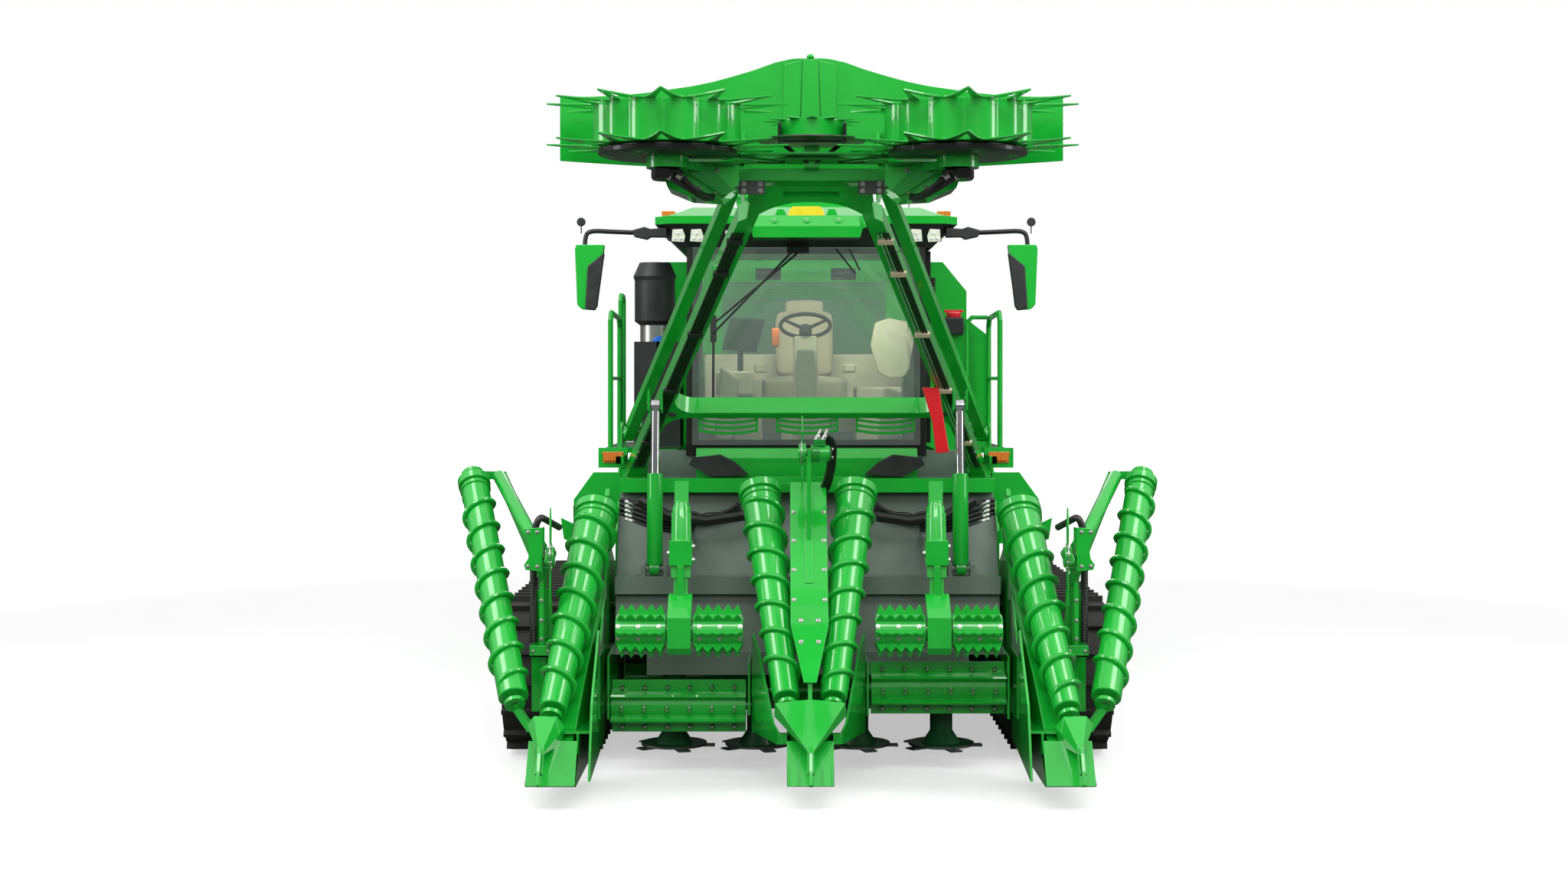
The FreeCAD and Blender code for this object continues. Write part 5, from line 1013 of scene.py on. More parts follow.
seat_low = 1.976
seat = cushion("chair_cushion", (-0.30, 0.30), (3.26, 3.78), (2.24, 2.42), SEAT_CLOTH, 0.03)
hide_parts("cab_interior")
cushion("chair_back", (-0.21, 0.21), (3.64, 4.12), (2.60, 2.74), SEAT_CLOTH, 0.03, 80)
cushion("chair_headrest", (-0.14, 0.14), (3.90, 4.00), (2.88, 2.99), SEAT_CLOTH, 0.01)
cushion("chair_arm_right", (-0.36, -0.27), (3.25, 3.70), (2.46, 2.52), BEIGE_ABS, 0.008)
cushion("chair_arm_left", (0.27, 0.36), (3.25, 3.70), (2.46, 2.52), BEIGE_ABS, 0.008)
shells = [block((-0.17, 0.17), (3.35, 3.70), (seat_low, 2.23)),
          plate([(2.80, seat_low), (2.98, seat_low), (3.03, 2.68), (2.97, 2.72)], -0.085, 0.085,
                "YZ"),
          block((-0.50, -0.30), (3.10, 3.80), (seat_low, 2.42)),
          block((0.36, 0.69), (3.35, 3.85), (seat_low, 2.36)),
          plate([(0.52, 2.46), (0.60, 2.42), (0.70, 2.42), (0.76, 2.48), (0.80, 2.72),
                 (0.77, 2.82), (0.60, 2.85), (0.50, 2.82), (0.47, 2.66)], 3.45, 3.53, "XZ"),
          block((-0.74, 0.74), (3.98, 4.06), (2.02, 2.60)),
          block((-0.62, -0.36), (3.00, 3.30), (2.30, 2.47)),
          plate([(-0.62, 2.0), (-0.50, 2.0), (-0.46, 2.42), (-0.58, 2.5)], 2.75, 3.1, "XZ"),
          plate([(0.50, 2.0), (0.64, 2.0), (0.66, 2.32), (0.55, 2.36)], 2.75, 3.1, "XZ"),
          plate([(-0.055, 2.0), (0.055, 2.0), (0.075, 2.5), (0.055, 2.62), (-0.055, 2.62),
                 (-0.075, 2.5)], 2.76, 2.80, "XZ")]
piece("moulded_consoles", *join_shapes(shells), BEIGE_ABS, "chassis", round_mm=18)
screens = [plate([(-0.58, 2.62), (-0.34, 2.60), (-0.28, 2.83), (-0.52, 2.84)], 3.02, 3.06, "XZ"),
           block((-0.34, -0.17), (2.70, 2.74), (3.085, 3.165)),
           block((0.17, 0.34), (2.70, 2.74), (3.085, 3.165)),
           block((-0.47, -0.43), (3.03, 3.05), (2.42, 2.62)),
           block((-0.035, 0.035), (2.985, 2.995), (2.60, 2.72))]
piece("screens_and_speakers", *join_shapes(screens), BLACK_ABS, "chassis", round_mm=6)
cushion("joystick_grip", (-0.235, -0.180), (3.12, 3.19), (2.64, 2.77), ORANGE_GRIP, 0.004)
rim, turn = [], Matrix.Rotation(math.radians(-26), 3, "X")
hub = at(0, 2.995, 2.74)
verts, faces = [], []
AROUND, SECTION = 48, 10
for i in range(AROUND):
    a = 2 * math.pi * i / AROUND
    for j in range(SECTION):
        b = 2 * math.pi * j / SECTION
        radius = 0.172 + 0.014 * math.cos(b)
        verts.append(hub + turn @ Vector((radius * math.cos(a), radius * math.sin(a),
                                          0.05 + 0.014 * math.sin(b))))
for i in range(AROUND):
    for j in range(SECTION):
        k, m = (i + 1) % AROUND, (j + 1) % SECTION
        faces.append((i * SECTION + j, k * SECTION + j, k * SECTION + m, i * SECTION + m))
spokes = [turned([(0.045, -0.02), (0.042, 0.04), (0.03, 0.05)], hub, turn @ Vector((0, 0, 1)), 24)]
for angle in (90, 215, 325):
    way = Vector((math.cos(math.radians(angle)), math.sin(math.radians(angle)), 0.12))
    spokes.append(turned([(0.013, 0.03), (0.010, 0.172)], hub + turn @ Vector((0, 0, 0.02)),
                         turn @ way, 8))
piece("steering_wheel", *join_shapes([(verts, faces)] + spokes), BLACK_ABS, "chassis", 50)
print("chair, two consoles, column and wheel stand on the floor at", seat_low)

# %% [markdown]
# Behind the cab stands the front wall of the engine bay, with a band of
# perforated sheet for the radiator's air. Seen through two panes it reads as
# one pale green wall, so the sheet's holes are made as real strands.

# %% Perforated screen behind the cab
strands = []
SCREEN_Y, STRAND = 4.045, 0.006
for row in range(9):
    z = 3.02 + 0.0225 * row
    for column in range(52):
        x = -0.60 + 0.0236 * column + (0.0118 if row % 2 else 0)
        strands.append(plate([(x, z), (x + 0.0118, z + 0.011), (x + 0.0118 + STRAND, z + 0.011),
                              (x + STRAND, z)], SCREEN_Y - 0.004, SCREEN_Y, "XZ"))
        strands.append(plate([(x + 0.0118, z + 0.011), (x + 0.0236, z),
                              (x + 0.0236 + STRAND, z), (x + 0.0118 + STRAND, z + 0.011)],
                             SCREEN_Y - 0.004, SCREEN_Y, "XZ"))
piece("perforated_screen", *join_shapes(strands), GREEN, "chassis")
# The label takes the clear lens finish, so it glows faintly: painted light on a plate that holds no lamp.
label = block((-0.053, 0.007), (4.030, 4.040), (2.925, 3.000))
piece("bare_label", *label, CLEAR_LENS, "chassis")
filter_box = [block((0.99, 1.17), (3.86, 3.99), (2.74, 2.87))]
piece("filter_box", *join_shapes(filter_box), BLACK_ABS, "chassis", round_mm=12)
filler = [turned([(0.05, 0), (0.055, 0.01), (0.055, 0.035), (0.04, 0.045)],
                 at(1.10, 3.925, 2.865), (0, 0, 1), 20),
          block((1.03, 1.17), (3.915, 3.935), (2.905, 2.925))]
piece("red_filler_cap", *join_shapes(filler), RED_PAINT, "chassis", round_mm=2)
print("screen of", len(strands), "strands")

# %% [markdown]
# ## Dividers
# The divider's nose is a folded cone with a bolted wear tip, which hangs to
# the ground. The rest of the divider keeps the faces of its solid, so the new
# nose is joined to a copy of the solid without the old one.

# %% Divider noses and shoes
def kept_faces(name, dropped):
    """The faces of a solid, less those whose middle is in a dropped place."""
    mesh = nodes[name].data
    verts, faces, index = [], [], {}
    for face in mesh.polygons:
        x, y, z = face.center
        slanted = max(abs(n) for n in face.normal) < 0.995
        if dropped(x, y - TIP, z, slanted):
            continue
        for v in face.vertices:
            if v not in index:
                index[v] = len(verts)
                verts.append(mesh.vertices[v].co.copy())
        faces.append(tuple(index[v] for v in face.vertices))
    return verts, faces


def cone(tip, ring):
    """A folded cone from a tip to a ring of points."""
    count = len(ring)
    faces = [(0, 1 + i, 1 + (i + 1) % count) for i in range(count)]
    return [at(*tip)] + [at(*p) for p in ring], faces + [tuple(range(1, count + 1))]


SIDE_NOSE = cone((1.497, 0.10, 0.325), [
    (1.605, 0.40, 0.455), (1.56, 0.37, 0.510), (1.43, 0.37, 0.508), (1.385, 0.40, 0.440),
    (1.41, 0.43, 0.340), (1.57, 0.43, 0.330)])
CENTRE_NOSE = cone((0.0, 0.11, 0.33), [
    (-0.205, 0.42, 0.500), (-0.200, 0.375, 0.582), (-0.10, 0.355, 0.598), (0.0, 0.35, 0.606),
    (0.10, 0.355, 0.598), (0.200, 0.375, 0.582), (0.205, 0.42, 0.500), (0.06, 0.44, 0.365),
    (-0.06, 0.44, 0.365)])


def wear_tip(x):
    """The hanging wear plate with its two side straps."""
    return join_shapes([
        plate([(0.0, 0.190), (0.012, 0.176), (0.10, 0.255), (0.17, 0.33), (0.15, 0.375),
               (0.09, 0.352), (0.03, 0.262)], x - 0.010, x + 0.010, "YZ"),
        plate([(0.045, 0.245), (0.075, 0.225), (0.20, 0.345), (0.18, 0.385)], x - 0.019,
              x - 0.011, "YZ"),
        plate([(0.045, 0.245), (0.075, 0.225), (0.20, 0.345), (0.18, 0.385)], x + 0.011,
              x + 0.019, "YZ")])


def shoe_front(low, high):
    """The sloping plate that closes a shoe box in front."""
    corners = [(low, 0.185, 0.148), (high, 0.185, 0.148), (high, 0.352, 0.372),
               (low, 0.352, 0.372)]
    return ([at(*p) for p in corners] + [at(x, y + 0.012, z - 0.004) for x, y, z in corners],
            [(0, 1, 2, 3), (4, 5, 6, 7), (0, 1, 5, 4), (1, 2, 6, 5), (2, 3, 7, 6),
             (3, 0, 4, 7)])


# the sheet beside the throat, below the inner scroll
CHEEK = [(1.372, 0.30, 0.262), (1.335, 0.50, 0.415), (1.302, 0.75, 0.690),
         (1.268, 1.0, 0.930), (1.236, 1.30, 1.190), (1.240, 1.30, 0.232), (1.330, 0.60, 0.225)]
cheek = ([at(*p) for p in CHEEK] + [at(x + 0.008, y, z) for x, y, z in CHEEK],
         [tuple(range(7)), tuple(range(7, 14))] +
         [(i, (i + 1) % 7, 7 + (i + 1) % 7, 7 + i) for i in range(7)])
APRON = [(1.46, 0.36, 0.300), (1.455, 0.50, 0.385), (1.44, 0.75, 0.620), (1.40, 1.0, 0.835),
         (1.35, 1.30, 1.090)]
apron = ([at(*p) for p in CHEEK[:5]] + [at(*p) for p in APRON] +
         [at(x, y, z - 0.008) for x, y, z in CHEEK[:5] + APRON],
         [(i + s, i + 1 + s, i + 6 + s, i + 5 + s) for i in range(4) for s in (0, 10)] +
         [(i, i + 1, i + 11, i + 10) for i in range(4)] +
         [(i + 5, i + 6, i + 16, i + 15) for i in range(4)] +
         [(0, 5, 15, 10), (4, 9, 19, 14)])
# the plate behind the knife, between the scrolls
WEB = [(1.66, 0.42), (1.43, 0.42), (1.41, 0.86), (1.535, 0.97), (1.54, 1.15), (1.60, 1.17),
       (1.66, 1.12)]
side_parts = [SIDE_NOSE, wear_tip(1.497), shoe_front(1.312, 1.588), cheek, apron,
              plate(WEB, 1.09, 1.10, "XZ")]
for side, name in ((1, "divider_left"), (-1, "divider_right")):
    rest = kept_faces(name, lambda x, y, z, slanted: 1.30 < abs(x) < 1.70 and z < 0.475 and
                      ((y < 0.399 and slanted) or abs(y - 0.4) < 0.002))
    parts = join_shapes(side_parts)
    made = piece(name + "_shell", *join_shapes([rest, parts if side > 0 else mirrored(parts)]),
                 GREEN, name, 30.0, 1.5)
    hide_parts(name)
rest = kept_faces("divider_centre", lambda x, y, z, slanted: abs(x) < 0.2 and z < 0.565 and
                  ((y < 0.394 and slanted) or abs(y - 0.395) < 0.002))
made = piece("divider_centre_shell", *join_shapes([
    rest, CENTRE_NOSE, wear_tip(0.0), shoe_front(-0.132, 0.132)]), GREEN, "divider_centre",
    30.0, 1.5)
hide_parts("divider_centre")
print("noses end at", SIDE_NOSE[0][0].y - TIP, "and the wear tips at", 0.0)

# %% [markdown]
# Each outer divider carries a side knife for tangled cane, with its saddle
# guard, a ribbed sleeve over its hoses and a thick arm to the outer scroll.

# %% Side knives and their guards
GUARD = [(1.557, 1.290), (1.655, 1.300), (1.664, 1.330), (1.640, 1.365), (1.632, 1.42),
         (1.642, 1.475), (1.664, 1.505), (1.660, 1.540), (1.557, 1.548)]
guard = [plate(GUARD, 0.745, 0.757, "XZ"), block((1.560, 1.572), (0.75, 0.90), (1.30, 1.54)),
         block((1.572, 1.600), (0.955, 0.985), (0.80, 1.27)),
         block((1.52, 1.65), (0.90, 0.985), (0.77, 0.785)),
         block((1.52, 1.65), (0.90, 0.912), (0.77, 0.840))]
for side, name in ((1, "divider_left"), (-1, "divider_right")):
    word = name.split("_")[1]
    shape = join_shapes(guard)
    piece("knife_guard_" + word, *(shape if side > 0 else mirrored(shape)), GREEN, name,
          round_mm=3)
    hose("scroll_arm_" + word, [at(side * 1.60, 1.06, 1.40), at(side * 1.70, 1.20, 1.51),
                                at(side * 1.95, 1.79, 1.80)], 0.042, GREEN, name, smooth=False)
    ribs = []
    for k in range(36):
        ribs += [(0.019, k * 0.012), (0.023, k * 0.012 + 0.004), (0.023, k * 0.012 + 0.008)]
    piece("ribbed_sleeve_" + word, *turned(ribs, at(side * 1.634, 0.965, 0.85), (0, 0, 1), 16),
          HOSE_RUBBER, name, 50.0)
    hose("sleeve_loop_" + word, [
        at(side * 1.634, 0.965, 1.27), at(side * 1.634, 0.965, 1.50), at(side * 1.60, 0.97, 1.60),
        at(side * 1.56, 1.02, 1.57), at(side * 1.50, 1.15, 1.52)], 0.021, HOSE_RUBBER, name)
    bolts = [at(side * x, 0.745, z) for x, z in
             ((1.585, 1.32), (1.585, 1.52), (1.640, 1.322), (1.640, 1.52))]
    bolts += [at(side * 1.586, 0.955, z) for z in (0.87, 0.98, 1.10, 1.22)]
    bolts += [at(side * x, 0.90, 0.805) for x in (1.54, 1.63)]
    piece("knife_guard_bolts_" + word, *hex_heads(bolts, (0, -1, 0), 17), ZINC, name)
    knife = "knife_" + word
    hub = [turned([(0.085, 0), (0.085, 0.006), (0.05, 0.014), (0.045, 0.020)],
                  at(side * 1.526, 0.90, 1.362), (-side, 0, 0), 32)]
    for k in range(8):
        a = math.radians(45 * k + 22)
        hub.append(hex_heads([at(side * 1.520, 0.90 + 0.066 * math.cos(a),
                                 1.362 + 0.066 * math.sin(a))], (-side, 0, 0), 14))
    piece(knife + "_hub", *join_shapes(hub), ZINC, knife)
print("two side knives dressed")

# %% [markdown]
# ## Throat
# The rollers that push the cane down have bolted strips, and a bundle of
# hydraulic hoses crosses behind each one. Every hose is fixed at both ends.

# %% Roller bolts, posts and hoses
for side, word in ((1, "left"), (-1, "right")):
    low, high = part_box("finned_roller_" + word)
    middle = (low + high) / 2
    heads = []
    for fin in range(6):
        a = math.radians(60 * fin)
        flat = Vector((0, -math.sin(a), math.cos(a)))
        out = Vector((0, math.cos(a), math.sin(a)))
        for k in range(6):
            x = middle.x - 0.34 + 0.136 * k
            for face in (1, -1):
                heads.append(hex_heads([Vector((x, middle.y, middle.z)) + out * 0.136 +
                                        flat * 0.008 * face], flat * face, 20))
    piece("finned_bolts_" + word, *join_shapes(heads), ZINC, "finned_roller_" + word)
    low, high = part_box("knockdown_roller_" + word)
    middle = (low + high) / 2
    rows = []
    for turn_step in range(8):
        a = math.radians(45 * turn_step + 22.5)
        out = Vector((0, math.cos(a), math.sin(a)))
        for x in (-0.36, -0.24, -0.12, 0.12, 0.24, 0.36):
            rows.append(hex_heads([Vector((middle.x + x, middle.y, middle.z)) + out * 0.097],
                                  out, 18))
    piece("knockdown_bolts_" + word, *join_shapes(rows), ZINC, "knockdown_roller_" + word)
    x = side * 0.765
    straps = [turned([(0.056, 0), (0.056, 0.22), (0.045, 0.24), (0.045, 0.26)],
                     at(x, 1.12, 1.42), (0, 0.13, 0.75), 20),
              block((x - 0.068, x + 0.068), (1.02, 1.16), (1.30, 1.45)),
              block((x - 0.020, x + 0.020), (1.00, 1.05), (1.06, 1.30))]
    piece("post_sleeve_" + word, *join_shapes(straps), GREEN, "knockdown_post_" + word,
          round_mm=4)
    nuts = [at(x + 0.068, 1.08, 1.33), at(x + 0.068, 1.08, 1.41), at(x - 0.068, 1.08, 1.37)]
    nuts = join_shapes([hex_heads(nuts[:2], (1, 0, 0), 30), hex_heads(nuts[2:], (-1, 0, 0), 30)])
    piece("post_nuts_" + word, *nuts, ZINC, "knockdown_post_" + word)
    for k in range(6):
        spread = 0.035 * k
        hose(f"throat_hose_{word}_{k}", [
            at(side * 1.20, 1.95, 1.64 - spread * 0.8), at(side * 1.05, 1.90, 1.62 - spread),
            at(side * (0.92 - 0.02 * k), 1.86, 1.52 - spread * 0.6),
            at(side * 0.74, 1.86, 1.58 - spread), at(side * (0.60 + 0.02 * k), 1.88,
                                                     1.50 + spread * 0.5),
            at(side * 0.43, 1.92, 1.62 - spread * 0.5)], 0.013, HOSE_RUBBER, "chassis")
    ends = [turned([(0.018, 0), (0.018, 0.02), (0.015, 0.022), (0.015, 0.075)],
                   at(side * 1.165, 1.93, 1.63 - 0.028 * k), (-side, -0.1, -0.3), 6)
            for k in range(6)]
    piece("throat_fittings_" + word, *join_shapes(ends), ZINC, "chassis")
print("rollers, posts and twelve hoses dressed")

# %% [markdown]
# ## Centre divider face and knife
# The face plate between the centre scrolls is bolted in rows. Its slope comes
# from the scrolls' axis.

# %% Centre face bolts and knife motor
STEEP = math.radians(47.03)
FACE_FOOT = Vector((0, 0.366, 0.678))
face_up = Vector((0, math.cos(STEEP), math.sin(STEEP)))
face_out = Vector((0, -math.sin(STEEP), math.cos(STEEP)))


def on_face(x, up, out=0.010):
    """A point on the centre divider's face plate."""
    return at(*FACE_FOOT) + Vector((x, 0, 0)) + face_up * up + face_out * out


rows = [on_face(x, up) for up in (0.60, 0.82, 1.04, 1.26) for x in (-0.09, 0.09)]
rows += [on_face(x, up) for up in (0.30, 0.45) for x in (-0.05, 0.05)]
piece("centre_face_bolts", *hex_heads(rows, face_out, 20), ZINC, "divider_centre")
strip = [on_face(x, up, out) for out in (0.009, 0.016) for x, up in
         ((-0.025, 0.72), (0.025, 0.72), (0.025, 1.40), (-0.025, 1.40))]
BOX_FACES = [(0, 1, 2, 3), (4, 5, 6, 7), (0, 1, 5, 4), (1, 2, 6, 5), (2, 3, 7, 6), (3, 0, 4, 7)]
piece("centre_face_strip", strip, BOX_FACES, GREEN, "divider_centre", round_mm=2)
# The knife motor's darker green is painted shade on the green enamel.
motor = [turned([(0.055, 0), (0.055, 0.05), (0.045, 0.055), (0.045, 0.115), (0.03, 0.12)],
                at(0.015, 1.13, 1.967), (1, 0, 0), 28),
         block((0.03, 0.10), (1.09, 1.17), (2.01, 2.05))]
piece("centre_knife_motor", *join_shapes(motor), SHADED_GREEN, "divider_centre", round_mm=3)
ends = [turned([(0.016, 0), (0.016, 0.03), (0.012, 0.035), (0.012, 0.07)],
               at(x, 1.13, 2.045), (0.5, 0, 1), 6) for x in (0.045, 0.085)]
ends.append(hex_heads([at(0.14, 1.13 + 0.035 * math.cos(a), 1.967 + 0.035 * math.sin(a))
                       for a in (0.8, 2.4, 3.9, 5.5)], (1, 0, 0), 16))
piece("centre_motor_fittings", *join_shapes(ends), ZINC, "divider_centre")
hub = [turned([(0.075, 0), (0.075, 0.006), (0.04, 0.014)], at(-0.040, 1.13, 1.967),
              (-1, 0, 0), 28)]
piece("centre_knife_hub", *join_shapes(hub), ZINC, "knife_centre")
for k in range(3):
    hose(f"centre_hose_{k}", [
        at(0.06 + 0.02 * k, 1.14, 2.08), at(0.12 + 0.02 * k, 1.18, 2.06),
        at(0.13 + 0.015 * k, 1.25, 1.90), at(0.09 + 0.02 * k, 1.34, 1.75),
        at(0.06 + 0.02 * k, 1.46, 1.70)], 0.012, HOSE_RUBBER, "divider_centre")
print("centre face has", len(rows), "bolts")

# %% [markdown]
# ## Side plates
# The plates that close the front corners of the body end in a narrow foot.

# %% Corner plates
def old_corner(x, y, z, slanted):
    """Whether a face of the decks belongs to the broad corner plates."""
    return abs(x) > 1.24 and z < 1.93 and (y < 2.352 or (1.69 < abs(x) < 1.712 and y < 2.71))


CORNER = [(1.225, 1.33), (1.225, 1.80), (1.405, 1.80), (1.535, 1.62),
          (1.535, 1.46), (1.62, 1.50), (1.60, 1.36), (1.53, 1.33)]
made = piece("decks_shell", *join_shapes([
    kept_faces("decks", old_corner),
    both_sides([plate(CORNER, 2.340, 2.348, "XZ"),
                plate([(2.34, 1.33), (2.34, 1.58), (2.70, 1.56), (2.50, 1.33)], 1.530, 1.538, "YZ")])]), GREEN, "chassis", 30.0)
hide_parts("decks")
amber = both_sides([plate([(1.228, 1.924), (1.378, 1.924), (1.362, 1.862), (1.252, 1.862)],
                          2.655, 2.684, "XZ")])
piece("corner_indicators", *amber, AMBER_LENS, "chassis", round_mm=4)
cap = [turned([(0.045, 0), (0.05, 0.01), (0.05, 0.03), (0.035, 0.045)], at(-1.031, 3.36, 2.671),
              (0, -1, 0), 12), block((-1.05, -1.012), (3.30, 3.335), (2.63, 2.712))]
piece("tank_cap", *join_shapes(cap), BLUE_CAP, "chassis", round_mm=3)
walls = both_sides([block((0.70, 1.06), (2.50, 2.51), (1.64, 1.94)),
                    block((0.85, 1.20), (2.36, 2.37), (0.34, 0.96))])
piece("closing_plates", *walls, GREY_PAINT, "chassis", round_mm=2)
print("corner plates reach x =", CORNER[5][0])

# %% [markdown]
# ## Topper
# The wall behind the drums is one rolled sheet, so it is drawn as a curve in
# plan whose top edge follows an ogee: flat at the ends, steep in the middle
# and rounded at the peak. A smooth curve through measured heights keeps the
# sheet free of kinks.

# %% Rolled wall of the topper
WALL_TOP = [(0.0, 4.213), (0.10, 4.210), (0.20, 4.186), (0.30, 4.147), (0.42, 4.107),
            (0.54, 4.069), (0.66, 4.038), (0.78, 4.014), (0.92, 3.984), (1.06, 3.960),
            (1.20, 3.942), (1.35, 3.930)]
WALL_HALF, WALL_SAG, WALL_LOW, SHEET = 1.35, 0.5, 3.583, 0.008


def wall_top(x):
    """Height of the wall's edge, eased between the measured places."""
    x = min(abs(x), WALL_HALF)
    for (x0, z0), (x1, z1) in zip(WALL_TOP, WALL_TOP[1:]):
        if x <= x1:
            return z0 + (z1 - z0) * (x - x0) / (x1 - x0)
    return WALL_TOP[-1][1]


verts, faces = [], []
WALL_STEPS = 96
for i in range(WALL_STEPS + 1):
    x = -WALL_HALF + 2 * WALL_HALF * i / WALL_STEPS
    y = 0.298 - WALL_SAG * (x / WALL_HALF) ** 2
    for back, z in ((0, WALL_LOW), (0, wall_top(x)), (SHEET, wall_top(x)), (SHEET, WALL_LOW)):
        verts.append(at(x, y - back, z))
for i in range(WALL_STEPS):
    for k in range(4):
        m = (k + 1) % 4
        faces.append((4 * i + k, 4 * i + m, 4 * i + 4 + m, 4 * i + 4 + k))
faces += [(0, 1, 2, 3), tuple(4 * WALL_STEPS + k for k in (3, 2, 1, 0))]
wall = piece("topper_wall", verts, faces, GREEN, "topper_head", 50.0, 1.5)
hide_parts("topper_deflector")
folds = [plate([(-0.16, 3.80), (-0.06, 3.80), (-0.045, 4.198), (-0.145, 4.176)], 0.272, 0.282,
               "XZ"),
         plate([(-0.055, 3.80), (0.055, 3.80), (0.042, 4.205), (-0.042, 4.205)], 0.268, 0.280,
               "XZ"),
         plate([(0.06, 3.80), (0.15, 3.80), (0.14, 4.178), (0.045, 4.198)], 0.272, 0.282,
               "XZ")]
piece("topper_wall_folds", *join_shapes(folds), GREEN, "topper_head", round_mm=3)
knob = turned([(0.006, 0), (0.018, 0.006), (0.022, 0.016), (0.016, 0.028), (0.004, 0.032)],
              at(0, 0.285, 4.205), (0, 0, 1), 20)
piece("topper_wall_knob", *knob, GREEN, "topper_head")
ribs = both_sides([block((0.40, 0.412), (-0.06, 0.24), (3.60, 3.79))])
piece("topper_wall_ribs", *ribs, GREEN, "topper_head", round_mm=2)
print("wall rises from", WALL_TOP[-1][1], "to", WALL_TOP[0][1])

# %% [markdown]
# Under each drum sit a black pan, a hydraulic motor and its hoses. They turn
# with the head and not with the drum, so they ride on the head. The hoses are
# fixed at both ends, to the motor and to the boat-shaped arm.

# %% Drum motors, hoses and the cutter's cage
DRUM_X, DRUM_Y = 0.75, -0.62
pans = [turned([(0.33, 0), (0.36, 0.010), (0.36, 0.036), (0.355, 0.038)],
               at(DRUM_X, DRUM_Y, 3.558), (0, 0, 1), 56),
        turned([(0.075, 0), (0.085, 0.015), (0.085, 0.05), (0.06, 0.06)],
               at(DRUM_X, DRUM_Y, 3.438), (0, 0, 1), 24),
        block((0.735, 0.81), (-0.745, -0.69), (3.44, 3.49))]
piece("drum_pans", *both_sides(pans), BLACK_PAINT, "topper_head", round_mm=3)
fittings = [turned([(0.020, 0), (0.020, 0.03), (0.014, 0.035), (0.014, 0.06)], at(x, -0.70, 3.46),
                   (-0.6, 0.1, -0.3), 6) for x in (0.70, 0.755)]
piece("drum_fittings", *both_sides(fittings), ZINC, "topper_head")
for side, word in ((1, "left"), (-1, "right")):
    for k in (0, 1):
        hose(f"drum_hose_{word}_{k}", [
            at(side * (0.67 + 0.055 * k), -0.70, 3.44), at(side * (0.60 + 0.03 * k), -0.72, 3.38),
            at(side * 0.54, -0.50, 3.36 - 0.02 * k), at(side * 0.50, -0.30, 3.40),
            at(side * (0.44 + 0.02 * k), -0.12, 3.45)], 0.014, HOSE_RUBBER, "topper_head")
# The struts' darker green is painted shade on the green enamel.
struts = [plate([(0.40, 3.40), (0.47, 3.372), (0.66, 3.50), (0.66, 3.545), (0.58, 3.54)], -0.50,
                -0.46, "XZ"),
          block((0.40, 0.66), (-0.505, -0.455), (3.535, 3.547))]
piece("drum_struts", *both_sides(struts), SHADED_GREEN, "topper_head", round_mm=3)
cage = [block((0.165, 0.18), (-0.46, -0.19), (3.665, 3.757)),
        block((0.0, 0.18), (-0.46, -0.445), (3.655, 3.667)),
        plate([(0.012, 3.56), (0.03, 3.56), (0.15, 3.645), (0.15, 3.662), (0.132, 3.662)],
              -0.30, -0.28, "XZ")]
piece("cutter_cage", *both_sides(cage), BLACK_PAINT, "topper_head", round_mm=2)
# The carrier's darker green is painted shade on the green enamel.
carrier = [plate([(0.0, -0.46), (0.10, -0.46), (0.42, -0.34), (0.42, -0.28), (0.10, -0.34),
                  (0.0, -0.34)], 3.592, 3.604),
           plate([(0.03, -0.34), (0.09, -0.34), (0.34, -0.06), (0.27, -0.06)], 3.588, 3.600),
           plate([(0.36, -0.34), (0.42, -0.34), (0.16, -0.06), (0.09, -0.06)], 3.584, 3.596),
           block((0.0, 0.42), (-0.10, -0.05), (3.580, 3.606)),
           block((0.0, 0.14), (-0.36, -0.12), (3.575, 3.59))]
piece("cutter_carrier", *both_sides(carrier), SHADED_GREEN, "topper_head", round_mm=2)
brackets = both_sides([block((0.250, 0.391), (-0.196, -0.184), (3.405, 3.478))])
piece("head_brackets", *brackets, CAST_GREY, "topper_head", round_mm=4)
studs = hex_heads([at(side * x, -0.196, z) for side in (-1, 1) for x in (0.275, 0.365)
                   for z in (3.423, 3.460)], (0, -1, 0), 20)
studs = join_shapes([studs, hex_heads(
    [at(side * x, -0.42, z) for side in (-1, 1) for x, z in
     ((0.50, 3.40), (0.50, 3.51), (0.60, 3.415), (0.68, 3.44), (0.68, 3.51))], (0, -1, 0), 18)])
piece("head_bolts", *studs, ZINC, "topper_head")
print("two pans and four hoses under the drums")

# %% [markdown]
# ## Boom
# Pipes for the topper's motors run up one arm in clips. Bowed slats hang from
# the cross bar to keep cane off the glass, and a red prop is parked on the
# bar: it holds the boom up when someone works under it.

# %% Boom pipes, slats and prop
RUN = Vector((0, -0.8246, 0.5657))
ABOVE = Vector((0, 0.5657, 0.8246))
BOOM_FOOT = (2.60, 1.75)


def on_boom(x, run, out):
    """A point up the boom's slope and out from its middle plane."""
    return at(x, *BOOM_FOOT) + RUN * run + ABOVE * out


def arm_x(run):
    """Middle of an arm at a distance up the slope."""
    return 1.18 - (1.18 - 0.38) * run / 2.812


def boom_box(x, run, out):
    """A box whose sides follow the boom's slope."""
    corners = [(a, b, c) for c in out for a, b in
               ((x[0], run[0]), (x[1], run[0]), (x[1], run[1]), (x[0], run[1]))]
    verts = [on_boom(*corner) for corner in corners]
    return verts, [(0, 1, 2, 3), (4, 5, 6, 7), (0, 1, 5, 4), (1, 2, 6, 5), (2, 3, 7, 6),
                   (3, 0, 4, 7)]


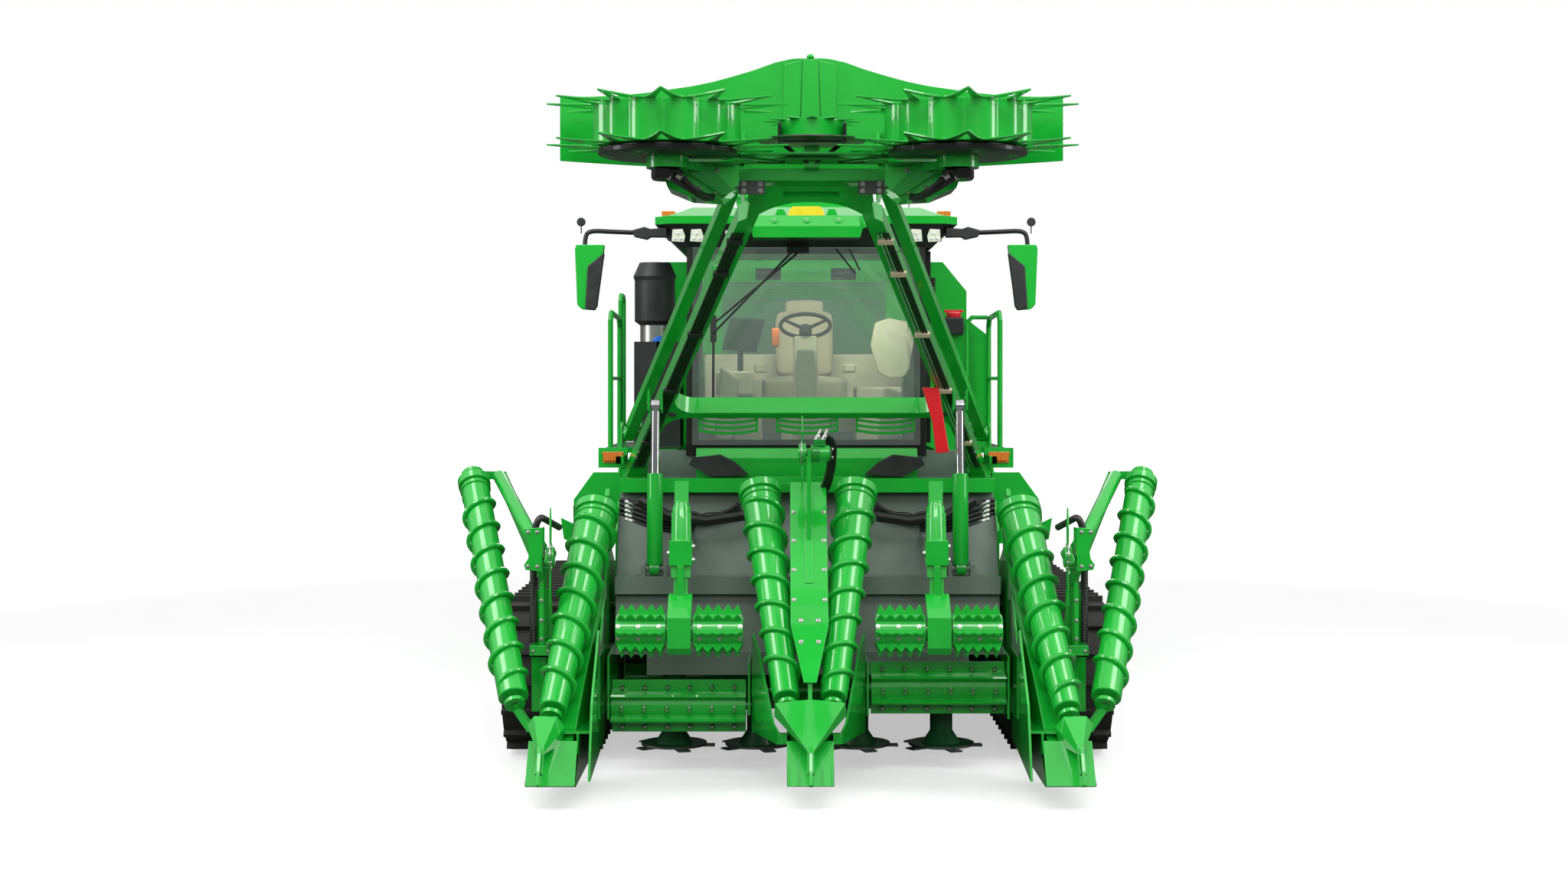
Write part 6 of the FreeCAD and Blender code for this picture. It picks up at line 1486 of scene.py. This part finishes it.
for k in range(4):
    shift = -0.030 + 0.020 * k
    hose(f"boom_pipe_{k}", [on_boom(arm_x(s) + shift, s, -0.071) for s in (0.25, 2.72)], 0.0075,
         CHROME if k < 2 else HOSE_RUBBER, "topper_boom", smooth=False)
    hose(f"boom_line_{k}", [on_boom(shift - arm_x(s), s, -0.071) for s in (0.25, 2.72)],
         0.0075, HOSE_RUBBER, "topper_boom", smooth=False)
clips = []
for s in (0.55, 1.15, 1.75, 2.35, 2.65):
    middle = arm_x(s)
    clips.append(boom_box((middle - 0.046, middle + 0.046), (s - 0.02, s + 0.02),
                          (-0.084, -0.062)))
piece("boom_pipe_clips", *join_shapes(clips), BEIGE_ABS, "topper_boom", round_mm=3)
piece("boom_line_clips", *mirrored(join_shapes(clips)), BLACK_ABS, "topper_boom", round_mm=3)
slats = []
for x0, x1 in ((-0.695, -0.314), (-0.20, 0.20), (0.31, 0.69)):
    for k in range(5):
        drop = 0.034 * k
        middle = (x0 + x1) / 2
        reach = (x1 - x0) / 2
        outline = [(middle + reach * u, 2.232 - drop - 0.020 * (1 - u * u))
                   for u in (-1, -0.6, -0.2, 0.2, 0.6, 1)]
        lower = [(a, b - 0.018) for a, b in reversed(outline)]
        slats.append(plate(outline + lower, 1.93, 1.942, "XZ"))
    for x in (x0, x1 - 0.016):
        slats.append(block((x, x + 0.016), (1.925, 1.946), (2.075, 2.25)))
piece("boom_slats", *join_shapes(slats), GREEN, "topper_boom")
prop = plate([(0.713, 2.362), (0.818, 2.36), (0.846, 2.18), (0.882, 1.958), (0.800, 1.95),
              (0.775, 2.15)], 1.585, 1.612, "XZ")
piece("parked_red_prop", *prop, RED_PAINT, "topper_boom", round_mm=5)
pins = both_sides([
    turned([(0.030, -0.06), (0.030, 0.0), (0.022, 0.006)], on_boom(0.86, 0.86, -0.06),
           -ABOVE, 24),
    turned([(0.030, 0.0), (0.030, 0.03), (0.02, 0.035)], on_boom(0.985, 1.0, -0.055),
           -ABOVE, 20)])
piece("boom_pins", *pins, CAST_GREY, "topper_boom")
bolts = hex_heads([on_boom(side * (arm_x(s) + shift), s, -0.060) for side in (-1, 1)
                   for s in (0.35, 0.42, 2.55) for shift in (-0.03, 0.03)], -ABOVE, 22)
piece("boom_bolts", *bolts, ZINC, "topper_boom")
print("eight boom lines and three slatted guards")

# %% [markdown]
# ## Finish
# The box of what shows is kept beside the box of the solids, so the two can be
# compared: looks must not change the machine's size.

# %% Compare sizes and finish
shown_box = [list(corner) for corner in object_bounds()]
for corner, (before, after) in enumerate(zip(cad_box, shown_box)):
    print("corner", corner, [round(b - a, 4) for a, b in zip(before, after)])
